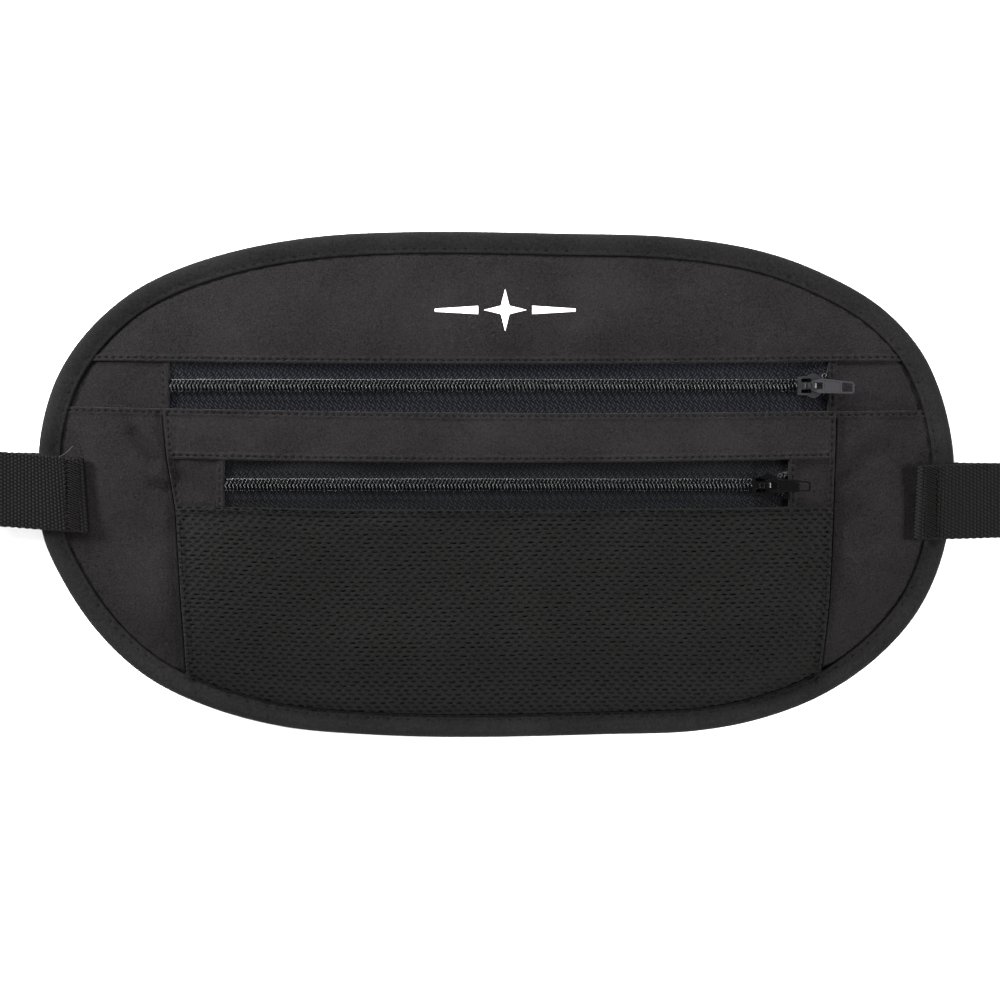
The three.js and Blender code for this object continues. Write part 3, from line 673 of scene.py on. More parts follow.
class Nodes:
    """A small helper that adds shader nodes and links them."""

    def __init__(self, name, color, roughness, **sockets):
        self.material = bpy.data.materials.new(name)
        self.material.use_nodes = True
        self.tree = self.material.node_tree
        self.shader = self.tree.nodes["Principled BSDF"]
        self.shader.inputs["Base Color"].default_value = (*color, 1)
        self.shader.inputs["Roughness"].default_value = roughness
        for key, value in sockets.items():
            self.shader.inputs[key.replace("_", " ")].default_value = value
        self.coord = self.add("ShaderNodeTexCoord").outputs["Object"]

    def add(self, kind, inputs=None, **settings):
        node = self.tree.nodes.new(kind)
        for key, value in settings.items():
            setattr(node, key, value)
        for key, value in (inputs or {}).items():
            if isinstance(value, bpy.types.NodeSocket):
                self.tree.links.new(value, node.inputs[key])
            else:
                node.inputs[key].default_value = value
        return node

    def math(self, operation, a, b=None):
        inputs = {0: a} if b is None else {0: a, 1: b}
        return self.add("ShaderNodeMath", inputs, operation=operation).outputs[0]

    def noise(self, size, detail=2.0, rough=0.5):
        """Noise whose features are about size millimetres across."""
        inputs = {"Vector": self.coord, "Scale": 1 / (size * MM), "Detail": detail, "Roughness": rough}
        return self.add("ShaderNodeTexNoise", inputs).outputs["Fac"]

    def axes(self):
        return self.add("ShaderNodeSeparateXYZ", {0: self.coord}).outputs

    def stripes(self, value, pitch):
        """0 to 1 waves of a pitch in millimetres along a coordinate."""
        turned = self.fused(value, 2 * math.pi / (pitch * MM), 0.0)
        return self.fused(self.math("SINE", turned), 0.5, 0.5)

    def fused(self, value, by, plus):
        """value times by, plus plus."""
        return self.add("ShaderNodeMath", {0: value, 1: by, 2: plus}, operation="MULTIPLY_ADD").outputs[0]

    def pit_shade(self):
        """1 at the bottom of a gap between yarns and 0 on top of them, where the materials paint shade."""
        return self.add("ShaderNodeAttribute", attribute_name="pit").outputs["Fac"]

    def ramp(self, value, low, high, to_low=0.0, to_high=1.0):
        inputs = {"Value": value, "From Min": low, "From Max": high, "To Min": to_low, "To Max": to_high}
        return self.add("ShaderNodeMapRange", inputs).outputs["Result"]

    def mix(self, factor, a, b):
        """Two colours mixed, each given as a socket or as three numbers."""
        a, b = (c if isinstance(c, bpy.types.NodeSocket) else (*c, 1) for c in (a, b))
        return self.add("ShaderNodeMix", {0: factor, 6: a, 7: b}, data_type="RGBA").outputs[2]

    def grains(self, grain, wide, spread, blotch):
        """Fine grain around 1, give or take spread, plus wider blotches."""
        fine = self.ramp(*grain, 1 - spread, 1 + spread)
        return self.math("ADD", fine, self.ramp(wide, 0.3, 0.7, -blotch, blotch))

    def color(self, socket):
        self.tree.links.new(socket, self.shader.inputs["Base Color"])

    def roughness(self, socket):
        self.tree.links.new(socket, self.shader.inputs["Roughness"])

    def bump(self, height, distance):
        """distance is the height in millimetres of a full step."""
        node = self.add("ShaderNodeBump", {"Height": height, "Distance": distance * MM, "Strength": 1.0})
        self.tree.links.new(node.outputs["Normal"], self.shader.inputs["Normal"])


def scaled(color, by):
    return tuple(min(1, c * by) for c in color)


def woven(name, color, pitch=0.42, grain=0.45, contrast=0.9, bump=0.14, lint=True):
    """Closely woven brushed polyester."""
    n = Nodes(name, color, 0.85, Sheen_Weight=0.03, Sheen_Roughness=0.35, Specular_IOR_Level=0.05,
              Sheen_Tint=(0.9, 0.88, 0.92, 1))
    warp = n.noise(3.0)
    fine = n.noise(grain, 3.0, 0.62)
    wide = n.noise(22.0, 3.0, 0.55)
    x, y, _ = n.axes()
    shift = n.math("MULTIPLY", warp, 0.35 * MM)
    weave = n.math("MULTIPLY", n.stripes(n.math("ADD", x, shift), pitch),
                   n.stripes(n.math("ADD", y, shift), pitch * 0.87))
    shade = n.grains((fine, 0.32, 0.68), wide, contrast, 0.2)
    shade = n.math("ADD", shade, n.ramp(weave, 0.0, 1.0, -0.12, 0.2))
    tone = n.mix(n.ramp(shade, 0.0, 2.2), scaled(color, 0.0), scaled(color, 2.2))
    if lint:
        speck = n.add("ShaderNodeTexVoronoi", {"Vector": n.coord, "Scale": 1 / (7 * MM),
                                               "Randomness": 1.0}).outputs["Distance"]
        spot = n.ramp(speck, 0.022, 0.03, 0.55, 0.0)
        tone = n.mix(spot, tone, scaled(color, 6))
    n.color(tone)
    n.roughness(n.ramp(fine, 0.3, 0.7, 0.77, 0.93))
    height = n.math("ADD", n.math("MULTIPLY", weave, 0.5), n.math("MULTIPLY", fine, 0.8))
    n.bump(height, bump)
    return n.material


def yarn(name, color, size=0.25, sheen=0.3, roughness=0.65, bump=0.05, contrast=0.35, pit=None):
    """Twisted or knitted yarn, with its fibres showing. With pit given, the gaps between yarns are painted
    shade, down to pit times the colour.
    """
    n = Nodes(name, color, roughness, Sheen_Weight=sheen, Sheen_Roughness=0.4, Specular_IOR_Level=0.06)
    fibre = n.noise(size, 4.0, 0.65)
    shade = n.grains((fibre, 0.28, 0.72), n.noise(9.0), contrast, 0.1)
    tone = n.mix(n.ramp(shade, 0.4, 1.6), scaled(color, 0.4), scaled(color, 1.6))
    # painted shade in the gaps between the yarns
    if pit is not None:
        tone = n.mix(n.pit_shade(), tone, scaled(color, pit))
    n.color(tone)
    n.roughness(n.ramp(fibre, 0.3, 0.7, roughness - 0.1, roughness + 0.1))
    n.bump(fibre, bump)
    return n.material


def knit(name, color):
    """Knitted mesh: the floor of each opening is painted near-black shade, darker than the yarn."""
    n = Nodes(name, color, 0.7, Sheen_Weight=0.01, Sheen_Roughness=0.45, Specular_IOR_Level=0.05)
    fibre = n.noise(0.4, 4.0, 0.65)
    shade = n.grains((fibre, 0.32, 0.68), n.noise(14.0), 0.65, 0.08)
    tone = n.mix(n.ramp(shade, 0.2, 1.8), scaled(color, 0.2), scaled(color, 1.8))
    # painted shade: the floor of each opening is coloured near black
    n.color(n.mix(n.pit_shade(), tone, scaled(color, 0.02)))
    n.roughness(n.ramp(fibre, 0.3, 0.7, 0.6, 0.82))
    n.bump(fibre, 0.06)
    return n.material


def herringbone(name, dark, light, middle):
    """Zip tape: short slanting strokes of yarn in lanes that lean to and fro."""
    n = Nodes(name, dark, 0.6, Sheen_Weight=0.01, Sheen_Roughness=0.4, Specular_IOR_Level=0.06)
    drift = n.noise(4.0)
    x, y, _ = n.axes()
    x = n.math("ADD", x, n.math("MULTIPLY", drift, 1.4 * MM))
    out = n.math("ABSOLUTE", n.math("SUBTRACT", y, middle * MM))
    lane = n.math("FLOOR", n.fused(out, 1 / (2.6 * MM), -0.75))
    lean = n.fused(n.math("PINGPONG", lane, 1.0), -2.0, 1.0)
    slant = n.math("MULTIPLY", n.math("MULTIPLY", y, 0.6), lean)
    across = n.math("SUBTRACT", x, slant)
    stroke = n.stripes(across, 0.95)
    number = n.math("FLOOR", n.fused(across, 1 / (0.95 * MM), 0.25))
    shifted = n.math("ADD", y, n.math("MULTIPLY", number, 0.77 * MM))
    broken = n.stripes(shifted, 1.9)
    mark = n.math("MULTIPLY", n.math("POWER", stroke, 1.6), n.ramp(broken, 0.15, 0.75, 0.12, 1.0))
    fibre = n.noise(0.3, 3.0, 0.7)
    mark = n.math("MULTIPLY", mark, n.ramp(fibre, 0.3, 0.7, 0.45, 1.4))
    n.color(n.mix(mark, dark, light))
    n.roughness(n.ramp(fibre, 0.3, 0.7, 0.5, 0.72))
    n.bump(mark, 0.22)
    return n.material


def painted_metal(name, color, roughness, shine):
    """Painted die-cast metal with faint scuffs."""
    n = Nodes(name, color, roughness, Specular_IOR_Level=shine)
    speck = n.noise(0.35, 4.0, 0.6)
    scuff = n.ramp(n.noise(1.1, 4.0, 0.7), 0.56, 0.66, 0.0, 0.35)
    base = n.mix(n.ramp(speck, 0.3, 0.7), scaled(color, 0.85), scaled(color, 1.15))
    n.color(n.mix(scuff, base, scaled(color, 1.7)))
    n.roughness(n.ramp(speck, 0.25, 0.75, roughness - 0.06, roughness + 0.1))
    n.bump(speck, 0.012)
    return n.material


def moulded(name, color, roughness=0.42, grain=0.3, bump=0.02, shine=0.2):
    """Moulded plastic with a fine spark-eroded grain."""
    n = Nodes(name, color, roughness, Specular_IOR_Level=shine)
    speck = n.noise(grain, 3.0, 0.7)
    wide = n.noise(6.0, 2.0)
    n.color(n.mix(n.ramp(wide, 0.3, 0.7), scaled(color, 0.85), scaled(color, 1.25)))
    n.roughness(n.ramp(speck, 0.3, 0.7, roughness - 0.08, roughness + 0.1))
    n.bump(speck, bump)
    return n.material


CLOTH_COLOR = (0.0064, 0.0058, 0.0061)
CLOTH_TOP = woven("cloth_top", CLOTH_COLOR)
CLOTH_FRONT = woven("cloth_front", (0.0060, 0.0053, 0.0057))
CLOTH_BAND = woven("cloth_band", scaled(CLOTH_COLOR, 0.96))
CLOTH_BACK = woven("cloth_back", scaled(CLOTH_COLOR, 0.8), lint=False)
LINING_CLOTH = woven("lining_cloth", (0.0040, 0.0040, 0.0043), pitch=0.2, lint=False)
BINDING = woven("binding_tape", (0.0054, 0.0051, 0.0053), pitch=0.5, grain=0.7, contrast=0.5, bump=0.08,
                lint=False)
TAPE = herringbone("zip_tape_yarn", (0.0004, 0.0004, 0.0006), (0.0128, 0.0142, 0.0212), UPPER["y"])
LOWER_TAPE = herringbone("lower_zip_tape_yarn", (0.0003, 0.0003, 0.0004), (0.0052, 0.0060, 0.0092),
                         LOWER["y"])
COIL = moulded("coil_nylon", (0.0013, 0.0013, 0.0016), 0.23, 0.5, 0.006, 0.25)
LOWER_COIL = moulded("lower_coil_nylon", (0.0010, 0.0010, 0.0013), 0.23, 0.5, 0.006, 0.21)
# pit 0.0 paints the gaps between the webbing's beads black, as painted shade
WEBBING = yarn("webbing_yarn", (0.0030, 0.0026, 0.0025), size=0.35, contrast=0.4, roughness=0.6,
               sheen=0.0, pit=0.0)
THREAD = yarn("sewing_thread", (0.0006, 0.0006, 0.0007), size=0.18, sheen=0.0)
TACK_THREAD = yarn("bartack_thread", (0.0021, 0.0019, 0.0018), size=0.2, sheen=0.0)
PALE_FIBRE = yarn("stray_fibre", (0.05, 0.05, 0.05), size=0.3)
GREY_METAL = painted_metal("grey_painted_metal", (0.0140, 0.0135, 0.0152), 0.4, 0.22)
# The upper slider has the same grey paint as its pull; this darker copy is painted shade.
SHADED_SLIDER_METAL = painted_metal("slider_grey_metal_painted_shade", (0.0085, 0.0083, 0.0093), 0.34, 0.24)
BLACK_METAL = painted_metal("black_painted_metal", (0.0005, 0.0005, 0.0006), 0.26, 0.13)
PLASTIC = moulded("black_acetal", (0.0035, 0.0035, 0.0037), roughness=0.5, shine=0.09)
FOAM = yarn("spacer_foam", (0.03, 0.03, 0.03), size=0.6, bump=0.2)
PRINT = moulded("white_print", (0.8, 0.8, 0.79), 0.6, 0.3, 0.01)
MESH_CLOTH = knit("mesh_cloth", (0.0028, 0.0028, 0.0027))


# ---- panels ----
RIM = inset_loop(PANEL_INSET, 1.2)


def span(curve, left, right):
    x = np.linspace(left, right, max(2, int(abs(right - left) / 1.2)))
    return np.stack([x, curve(x)], 1)


def rim_part(keep):
    """The run of the pouch's rim that keep accepts, counter-clockwise."""
    mask = keep(RIM[:, 0], RIM[:, 1])
    first = np.flatnonzero(mask & ~np.roll(mask, 1))[0]
    order = np.roll(np.arange(len(RIM)), -first)
    return RIM[order[mask[order]]]


def hemmed(height, hems, offset=0.0):
    """The top of a panel with its hems, for the stitches that lie on it."""
    return lambda x, y: height(x, y) + offset + sum(hem.height(np.stack([x, y], 1)) for hem in hems)


def cloth_piece(name, polygon, height, hems, material, flat, rests_on, area=None, held="stretched", **form):
    mesh = panel(name, polygon, height, hems, **form)
    piece(name, mesh, material, [name])


TAB_CLOTH = 0.45
TAB_UNDER = 3.6  # how far an upper tab reaches under the panels above and below it
UPPER_TAB_DROP = -0.72
LOWER_TAB_DROP = -0.68


def add_front():
    above = rim_part(lambda x, y: y > yoke_hem(x) + 0.2)
    fold = span(yoke_hem, above[-1][0], above[0][0])
    yoke = Hem(fold, 1, trim=8)
    cloth_piece("top_panel", np.vstack([above, fold]), front_z, [yoke], CLOTH_TOP, (0.296, 0.046),
                ["back_panel"], 0.0102)

    below = rim_part(lambda x, y: y < front_hem(x) - 0.2)
    fold = span(front_hem, below[-1][0], below[0][0])
    front = Hem(fold, 1, rise=0.5, trim=8)
    cloth_piece("front_panel", np.vstack([below, fold]), front_z, [front], CLOTH_FRONT, (0.304, 0.109),
                ["back_panel"], 0.0288)

    tabs = []
    for name, side, edge, stitch in (("upper_tab_left", -1, UPPER["window"][0], 2.3),
                                     ("upper_tab_right", 1, UPPER["window"][1], 1.6)):
        arc = rim_part(lambda x, y: (x * side > 0) & (y > front_hem(x) - TAB_UNDER)
                       & (y < yoke_hem(x) + TAB_UNDER))
        fold = np.array([[edge, front_hem(edge) - TAB_UNDER], [edge, yoke_hem(edge) + TAB_UNDER]])
        polygon = np.vstack([arc, spaced(fold[::-side], 1.0)])
        tabs.append(Hem(spaced(fold, 1.0), -side, stitch=stitch, fold=2.9, trim=4.6))
        cloth_piece(name, polygon, front_z, tabs[-1:], CLOTH_FRONT, (0.042, 0.024), ["front_panel"], 0.0009,
                    thickness=TAB_CLOTH, offset=UPPER_TAB_DROP)

    stitched("yoke_stitches", [yoke.row], hemmed(front_z, [yoke]))
    stitched("front_hem_stitches", [front.row], hemmed(front_z, [front]),
             keep=lambda x: (x < -112.5) | (x > 114.5))
    for hem, name in zip(tabs, ("upper_left_tab_stitches", "upper_right_tab_stitches")):
        stitched(name, [hem.row], hemmed(front_z, [hem], UPPER_TAB_DROP))


def patch_edge(line, low, high):
    """The part of a patch side line between two heights, from the bottom up."""
    y = np.linspace(low, high, max(3, int(high - low)))
    return np.stack([patch_x(line, y), y], 1)


def add_pocket():
    top = span(lambda x: front_hem(x) + 0.1, patch_x(PATCH_LEFT, 20), patch_x(PATCH_RIGHT, 20))
    bottom = span(band_hem, patch_x(PATCH_LEFT, 8.5), patch_x(PATCH_RIGHT, 8.5))
    left = spaced([top[0], bottom[0]], 1.0)
    right = spaced([bottom[-1], top[-1]], 1.0)
    polygon = np.vstack([bottom, right[1:-1], top[::-1], left[1:-1]])
    hems = [Hem(bottom, 1), Hem(right, 1, rise=0.3), Hem(top[::-1], 1), Hem(left, 1, rise=0.3)]
    cloth_piece("pocket_band", polygon, pocket_z, hems, CLOTH_BAND, (0.224, 0.0175), ["front_panel"])
    stitched("band_stitches", [hem.row for hem in hems], hemmed(pocket_z, hems))

    # Painted shade: dark threads just outside the pocket's side edges stand in for the dark shade line along
    # those seams; they are not a real cord.
    shade_cords = []
    for line, side in ((PATCH_LEFT, 1), (PATCH_RIGHT, -1)):
        edge = offset_line(patch_edge(line, -66, POCKET_TOP), 0.5 * side)
        shade_cords.append(tubes(np.column_stack([edge, front_z(edge[:, 0], edge[:, 1]) + 0.15])[None], 0.3))
    thread_piece("patch_edge_painted_shade", joined(shade_cords))

    for name, side, line, edge, stitch in (
            ("lower_tab_left", -1, PATCH_LEFT, LOWER["window"][0], 1.7),
            ("lower_tab_right", 1, PATCH_RIGHT, LOWER["window"][1], 1.5)):
        low, high = mesh_hem(edge) - 3, band_hem(edge) + 3
        outer = patch_edge(line, low, high)
        fold = spaced([[edge, low], [edge, high]], 1.0)
        hems = [Hem(fold, -side, stitch=stitch, fold=2.4, trim=4), Hem(outer, side, rise=0.35, trim=4)]
        cloth_piece(name, np.vstack([outer, fold[::-1]]), pocket_z, hems, CLOTH_FRONT, (0.0185, 0.0215),
                    ["front_panel"], thickness=TAB_CLOTH, offset=LOWER_TAB_DROP)
        stitched(name + "_stitches", [hem.row for hem in hems], hemmed(pocket_z, hems, LOWER_TAB_DROP))


DASH_PITCH = 3.2
ROW_PITCH = 1.44
STEPS_PER_ROW = 5
MESH_TOP = -8.5
MESH_LOW = -82.0
MESH_ROWS = 276
MESH_COLUMNS = 480


def mesh_row(x, y):
    """How many of the knit's rows a point lies above the mesh's top edge."""
    return (y - mesh_bow(x) - MESH_TOP) / ROW_PITCH


def mesh_dashes(x, y):
    """1 in the knit's slit-like openings and 0 on its yarns."""
    row = mesh_row(x, y)
    k = np.floor(row)
    along = x / DASH_PITCH + 0.5 * np.mod(k, 2) + 0.09 * np.sin(k * 1.7)
    n = np.floor(along)
    chance = np.modf(np.abs(np.sin(n * 12.9898 + k * 78.233) * 43758.5453))[0]
    other = np.modf(np.abs(np.sin(n * 39.3468 + k * 11.135) * 24634.6345))[0]
    u = along - n - 0.5 + 0.1 * (chance - 0.5)
    v = row - k - 0.5 + 0.16 * u + 0.12 * (other - 0.5)
    long = 0.29 + 0.09 * chance
    slit = smoothstep((long - np.abs(u)) / 0.08) * smoothstep((0.26 - np.abs(v)) / 0.12)
    return slit * (0.78 + 0.22 * other)


def mesh_bow(x):
    """How far the knit's rows stray from level."""
    return 1.4 * smoothstep((-x - 55) / 55) + 0.9 * smoothstep((x - 60) / 50) + 0.25 * np.sin(x / 21)


def add_mesh():
    level = MESH_TOP + 1.6 - np.arange(MESH_ROWS) * (ROW_PITCH / STEPS_PER_ROW)
    y = np.broadcast_to(level[:, None], (MESH_ROWS, MESH_COLUMNS))
    edge_y = np.linspace(MESH_TOP + 2, MESH_LOW - 2, 60)
    left, right = (np.interp(-y, -edge_y, patch_x(line, edge_y)) for line in (PATCH_LEFT, PATCH_RIGHT))
    x = left + (right - left) * np.linspace(0, 1, MESH_COLUMNS)
    under = inset_loop(BINDING_WIDTH - 0.5, 1.0)
    under = under[under[:, 1] < -20]
    under = under[under[:, 0].argsort()]
    top_edge = mesh_hem(x)
    y = np.clip(y + mesh_bow(x), np.interp(x, under[:, 0], under[:, 1]), top_edge)
    dash = mesh_dashes(x, y)
    row = mesh_row(x, y)
    rib = (0.11 * np.cos(2 * math.pi * (row - 0.5))
           + 0.09 * np.cos(2 * math.pi * (x / 1.6 + row / 2)) * (1 - dash))
    from_edge = np.minimum(np.minimum(x - left, right - x), top_edge - y)
    hem = 0.4 * (1 - smoothstep((from_edge - 1.8) / 0.9))
    base = pocket_z(x, y)
    top = base + hem + rib * (hem < 0.3) - 0.62 * dash
    low = base - CLOTH
    middle, half = (top + low) / 2, (top - low) / 2 * rounded(from_edge)
    points = np.vstack([np.stack([x, y, z], 2).reshape(-1, 3) for z in (middle + half, middle - half)])
    count = MESH_ROWS * MESH_COLUMNS
    index = np.arange(count).reshape(MESH_ROWS, MESH_COLUMNS)
    whole = (y[:-1, :-1] - y[1:, :-1] > 1e-6) | (y[:-1, 1:] - y[1:, 1:] > 1e-6)
    quads = np.stack([index[1:, :-1], index[1:, 1:], index[:-1, 1:], index[:-1, :-1]], -1)[whole]
    # the open rims of the two skins are joined by walls
    sides = np.concatenate([quads[:, [k, (k + 1) % 4]] for k in range(4)])
    _, first, times = np.unique(sides.min(1) * count + sides.max(1), return_index=True, return_counts=True)
    rim = sides[first[times == 1]]
    walls = np.stack([rim[:, 1], rim[:, 0], rim[:, 0] + count, rim[:, 1] + count], 1)
    mesh = merged(mesh_of("mesh_panel", *compact(points, np.vstack([quads, quads[:, ::-1] + count, walls]))))
    # the knit's openings are marked so that the material paints shade in them
    where = points_of(mesh) / MM
    with_pit_shade(mesh, mesh_dashes(where[:, 0], where[:, 1]))
    made = piece("mesh_panel", mesh, MESH_CLOTH, ["mesh_panel"])

    rows = [offset_line(patch_edge(line, low, -9.5), step)
            for line, low, step in ((PATCH_LEFT, -66, -1.2), (PATCH_RIGHT, -67, 1.2))]
    rows.append(span(lambda x: mesh_hem(x) - 1.2, patch_x(PATCH_LEFT, -9) + 2, patch_x(PATCH_RIGHT, -9) - 2))
    stitched("mesh_panel_stitches", rows, lambda x, y: pocket_z(x, y) + 0.4)


def add_back():
    cloth_piece("back_panel", inset_loop(PANEL_INSET), lambda x, y: BACK_Z + CLOTH + lift(y), [], CLOTH_BACK,
                (0.304, 0.167), ["strap_under"], 0.0405, spacing=3.0)
    pad_top = BACK_Z + CLOTH + 0.3 + 1.2

    def foam_top(x, y):
        return pad_top + lift(y) + 0.04 * np.sin(x / 3.1) * np.sin(y / 3.1)

    foam = panel("back_padding", inset_loop(11, 2.5), foam_top, thickness=1.15, spacing=4.0)
    pad = piece("back_padding", foam, FOAM, ["back_padding"])
    cloth_piece("main_lining", inset_loop(13, 2.5), lambda x, y: pad_top + 0.55 + lift(y), [], LINING_CLOTH,
                (0.281, 0.143), ["back_padding"], 0.0322, "laid", thickness=0.25, spacing=4.0)
BINDING_SECTION = [  # how far in from the pouch's edge, height, and whether stitches dent it
    (7.2, 3.15, 0), (7.24, 3.35, 0), (7.16, 3.55, 0), (6.9, 3.72, 0.2), (6.5, 3.82, 0.6), (6.1, 3.9, 0.9),
    (5.75, 3.96, 1), (5.4, 4.06, 0.9), (4.9, 4.2, 0.6), (4.3, 4.36, 0.35), (3.5, 4.5, 0.15), (2.6, 4.55, 0),
    (1.8, 4.45, 0), (1.1, 4.15, 0), (0.5, 3.6, 0), (0.12, 2.95, 0), (0, 2.3, 0), (0.12, 1.65, 0),
    (0.5, 1.0, 0), (1.1, 0.45, 0), (1.8, 0.15, 0), (2.8, 0.02, 0), (4.4, 0.0, 0), (5.75, 0.05, 0),
    (7.0, 0.02, 0), (7.2, 0.2, 0), (7.1, 0.42, 0), (5.0, 0.5, 0), (2.6, 0.55, 0), (1.5, 0.9, 0),
    (0.9, 1.6, 0), (0.7, 2.3, 0), (0.9, 3.0, 0), (1.5, 3.6, 0), (2.6, 3.95, 0), (4.2, 3.75, 0),
    (5.6, 3.4, 0), (6.8, 3.1, 0)]


def binding_dent(run, inset):
    slow = np.sin(run / 9.1) * np.sin(run / 27 + 2)
    beat = 0.5 + 0.5 * np.cos((run + 0.5 * inset) * 2 * math.pi / 3.4)
    gather = 0.5 + 0.5 * np.sin((run + 1.1 * inset) * 2 * math.pi / 6.8 + 2 * np.sin(run / 37))
    return 0.2 * beat + 0.16 * gather + 0.08 * slow


def add_binding():
    loop = inset_loop(0, 0.85)
    normal = leftwards(loop, closed=True)
    run = np.arange(len(loop)) * (closed_length(loop) / len(loop))
    rows = []
    for inset, z, dent in BINDING_SECTION:
        xy = loop + normal * inset
        sag = binding_dent(run, inset) * dent * 0.9
        body = 0.06 * np.sin((run + inset) / 4.3) * np.sin(run / 11.0) * (z > 3)
        rows.append(np.column_stack([xy, z + lift(xy[:, 1]) - sag + body]))
    n, count = len(rows), len(loop)
    s, i = np.meshgrid(np.arange(n), np.arange(count), indexing="ij")
    t, j = (s + 1) % n, (i + 1) % count
    quads = np.stack([t * count + i, t * count + j, s * count + j, s * count + i], -1)
    mesh = mesh_of("edge_binding", np.vstack(rows), quads)
    made = piece("edge_binding", mesh, BINDING, ["edge_binding"])

    # Painted shadow: a dark thread just inside the binding's inner edge stands in for the shadow gap between
    # the binding and the panel; the pouch has no such cord.
    shadow_line = inset_loop(BINDING_WIDTH + 0.2, 1.0)
    shadow_line = np.vstack([shadow_line, shadow_line[:2]])
    x, y = shadow_line.T
    on_patch = (y < 0) & (x > patch_x(PATCH_LEFT, y)) & (x < patch_x(PATCH_RIGHT, y))
    level = np.where(on_patch, pocket_z(x, y), front_z(x, y)) + 0.12
    thread_piece("binding_edge_painted_shadow", tubes(np.column_stack([shadow_line, level])[None], 0.27))

    row = inset_loop(5.75, 0.3)
    stitched("binding_stitches", [np.vstack([row, row[:2]])], lambda x, y: 3.96 + lift(y) - 0.3, pitch=3.4,
             share=0.5, radius=0.2, proud=0.02)


# ---- zips ----
TOOTH = 1.25


def chain_spread(zipper, x):
    """How far each half of the chain stands from the chain line in front of the slider."""
    part = zipper["slider"] + 0.2
    near = np.clip((x - part) / 3.4, 0, 1) * 1.2
    far = np.clip((x - part - 3.4) / (zipper["window"][1] - part - 3.4), 0, 1) * 1.2
    return near + far


def coil_half(zipper, side, left, right):
    """One nylon spiral: bars across the chain, joined at their outer ends.

    The lower half's bars end in fat heads that lock between the thinner upper ones.
    """
    per = 20
    turns = int(round((right - left) / TOOTH))
    u = np.linspace(0, turns, turns * per + 1)
    c, s = np.cos(2 * math.pi * u), np.sin(2 * math.pi * u)
    phase = u - 0.8
    k = np.floor(phase)
    step = k + smoothstep((phase - k) / 0.4)
    low, high = zipper["coil"]
    inner, outer = (0.28, 2.2) if side > 0 else (-0.45, 1.9)
    y = (inner + outer) / 2 + (outer - inner) / 2 * c
    lean = 0.34 * c * s if side > 0 else 0.3 * (y / outer)**2 * (y > 0)
    x = left + TOOTH * (step + (0.5 if side > 0 else 0.0)) + (0.25 * c if side > 0 else 0) + lean
    thin = 0.165 if side > 0 else 0.15
    fat = 0.18 if side > 0 else 0.36
    radius = thin + (fat - thin) * smoothstep((0.55 - c) / 1.1) * smoothstep(s * 2 + 1)
    z = (low + high) / 2 + (high - low - 2 * thin) / 2 * s - (radius - thin) * 0.6
    x = np.clip(x, left - 0.3, right + 0.3)
    path = np.stack([x, zipper["y"] + side * (y + chain_spread(zipper, x)), z], 1)
    return tubes(path[None], radius[None], 8, up=(1, 0, 0))


TAPE_STEP = 0.36


def tape_half(zipper, side, left, right):
    """A strip of herringbone tape. It parts with its half of the chain in front of the slider."""
    columns = int((right - left) / TAPE_STEP) + 1
    rows = int(10.0 / TAPE_STEP) + 1
    x = np.linspace(left, right, columns)[None] * np.ones((rows, 1))
    out = np.linspace(0.5, 10.5, rows)[:, None] * np.ones((1, columns))
    y = zipper["y"] + side * (out + chain_spread(zipper, x) * (1 - smoothstep((out - 1.5) / 9)))
    low, high = zipper["tape"]
    lanes = np.abs(np.sin(math.pi * (out - 0.5) / 2.6))
    loops = np.exp(-((out - 8.6) / 0.5)**2) * (0.5 + 0.5 * np.sin(2 * math.pi * x / 1.5))
    cord = np.exp(-((out - 2.6) / 0.35)**2) * (0.6 + 0.4 * np.sin(2 * math.pi * x / TOOTH))
    sag = -0.12 * smoothstep((out - 3) / 4) + 0.07 * np.sin(x / 13 + out / 3)
    top = high - 0.1 + 0.12 * lanes + 0.3 * loops + 0.25 * cord + sag
    return slab(np.stack([x, y, top], 2), np.stack([x, y, low + sag], 2), side)


def slab(upper, lower, side):
    """Two matching grids of points closed at their rims. With side -1 the faces turn over."""
    rows, columns = upper.shape[:2]
    shift = rows * columns
    index = np.arange(shift).reshape(rows, columns)
    top = np.stack([index[:-1, :-1], index[:-1, 1:], index[1:, 1:], index[1:, :-1]], -1).reshape(-1, 4)
    rim = np.concatenate([index[0], index[1:, -1], index[-1, -2::-1], index[-2:0:-1, 0]])
    after = np.roll(rim, -1)
    walls = np.stack([after, rim, rim + shift, after + shift], -1)
    quads = np.vstack([top, top[:, ::-1] + shift, walls])
    return np.vstack([upper.reshape(-1, 3), lower.reshape(-1, 3)]), quads[:, ::side]


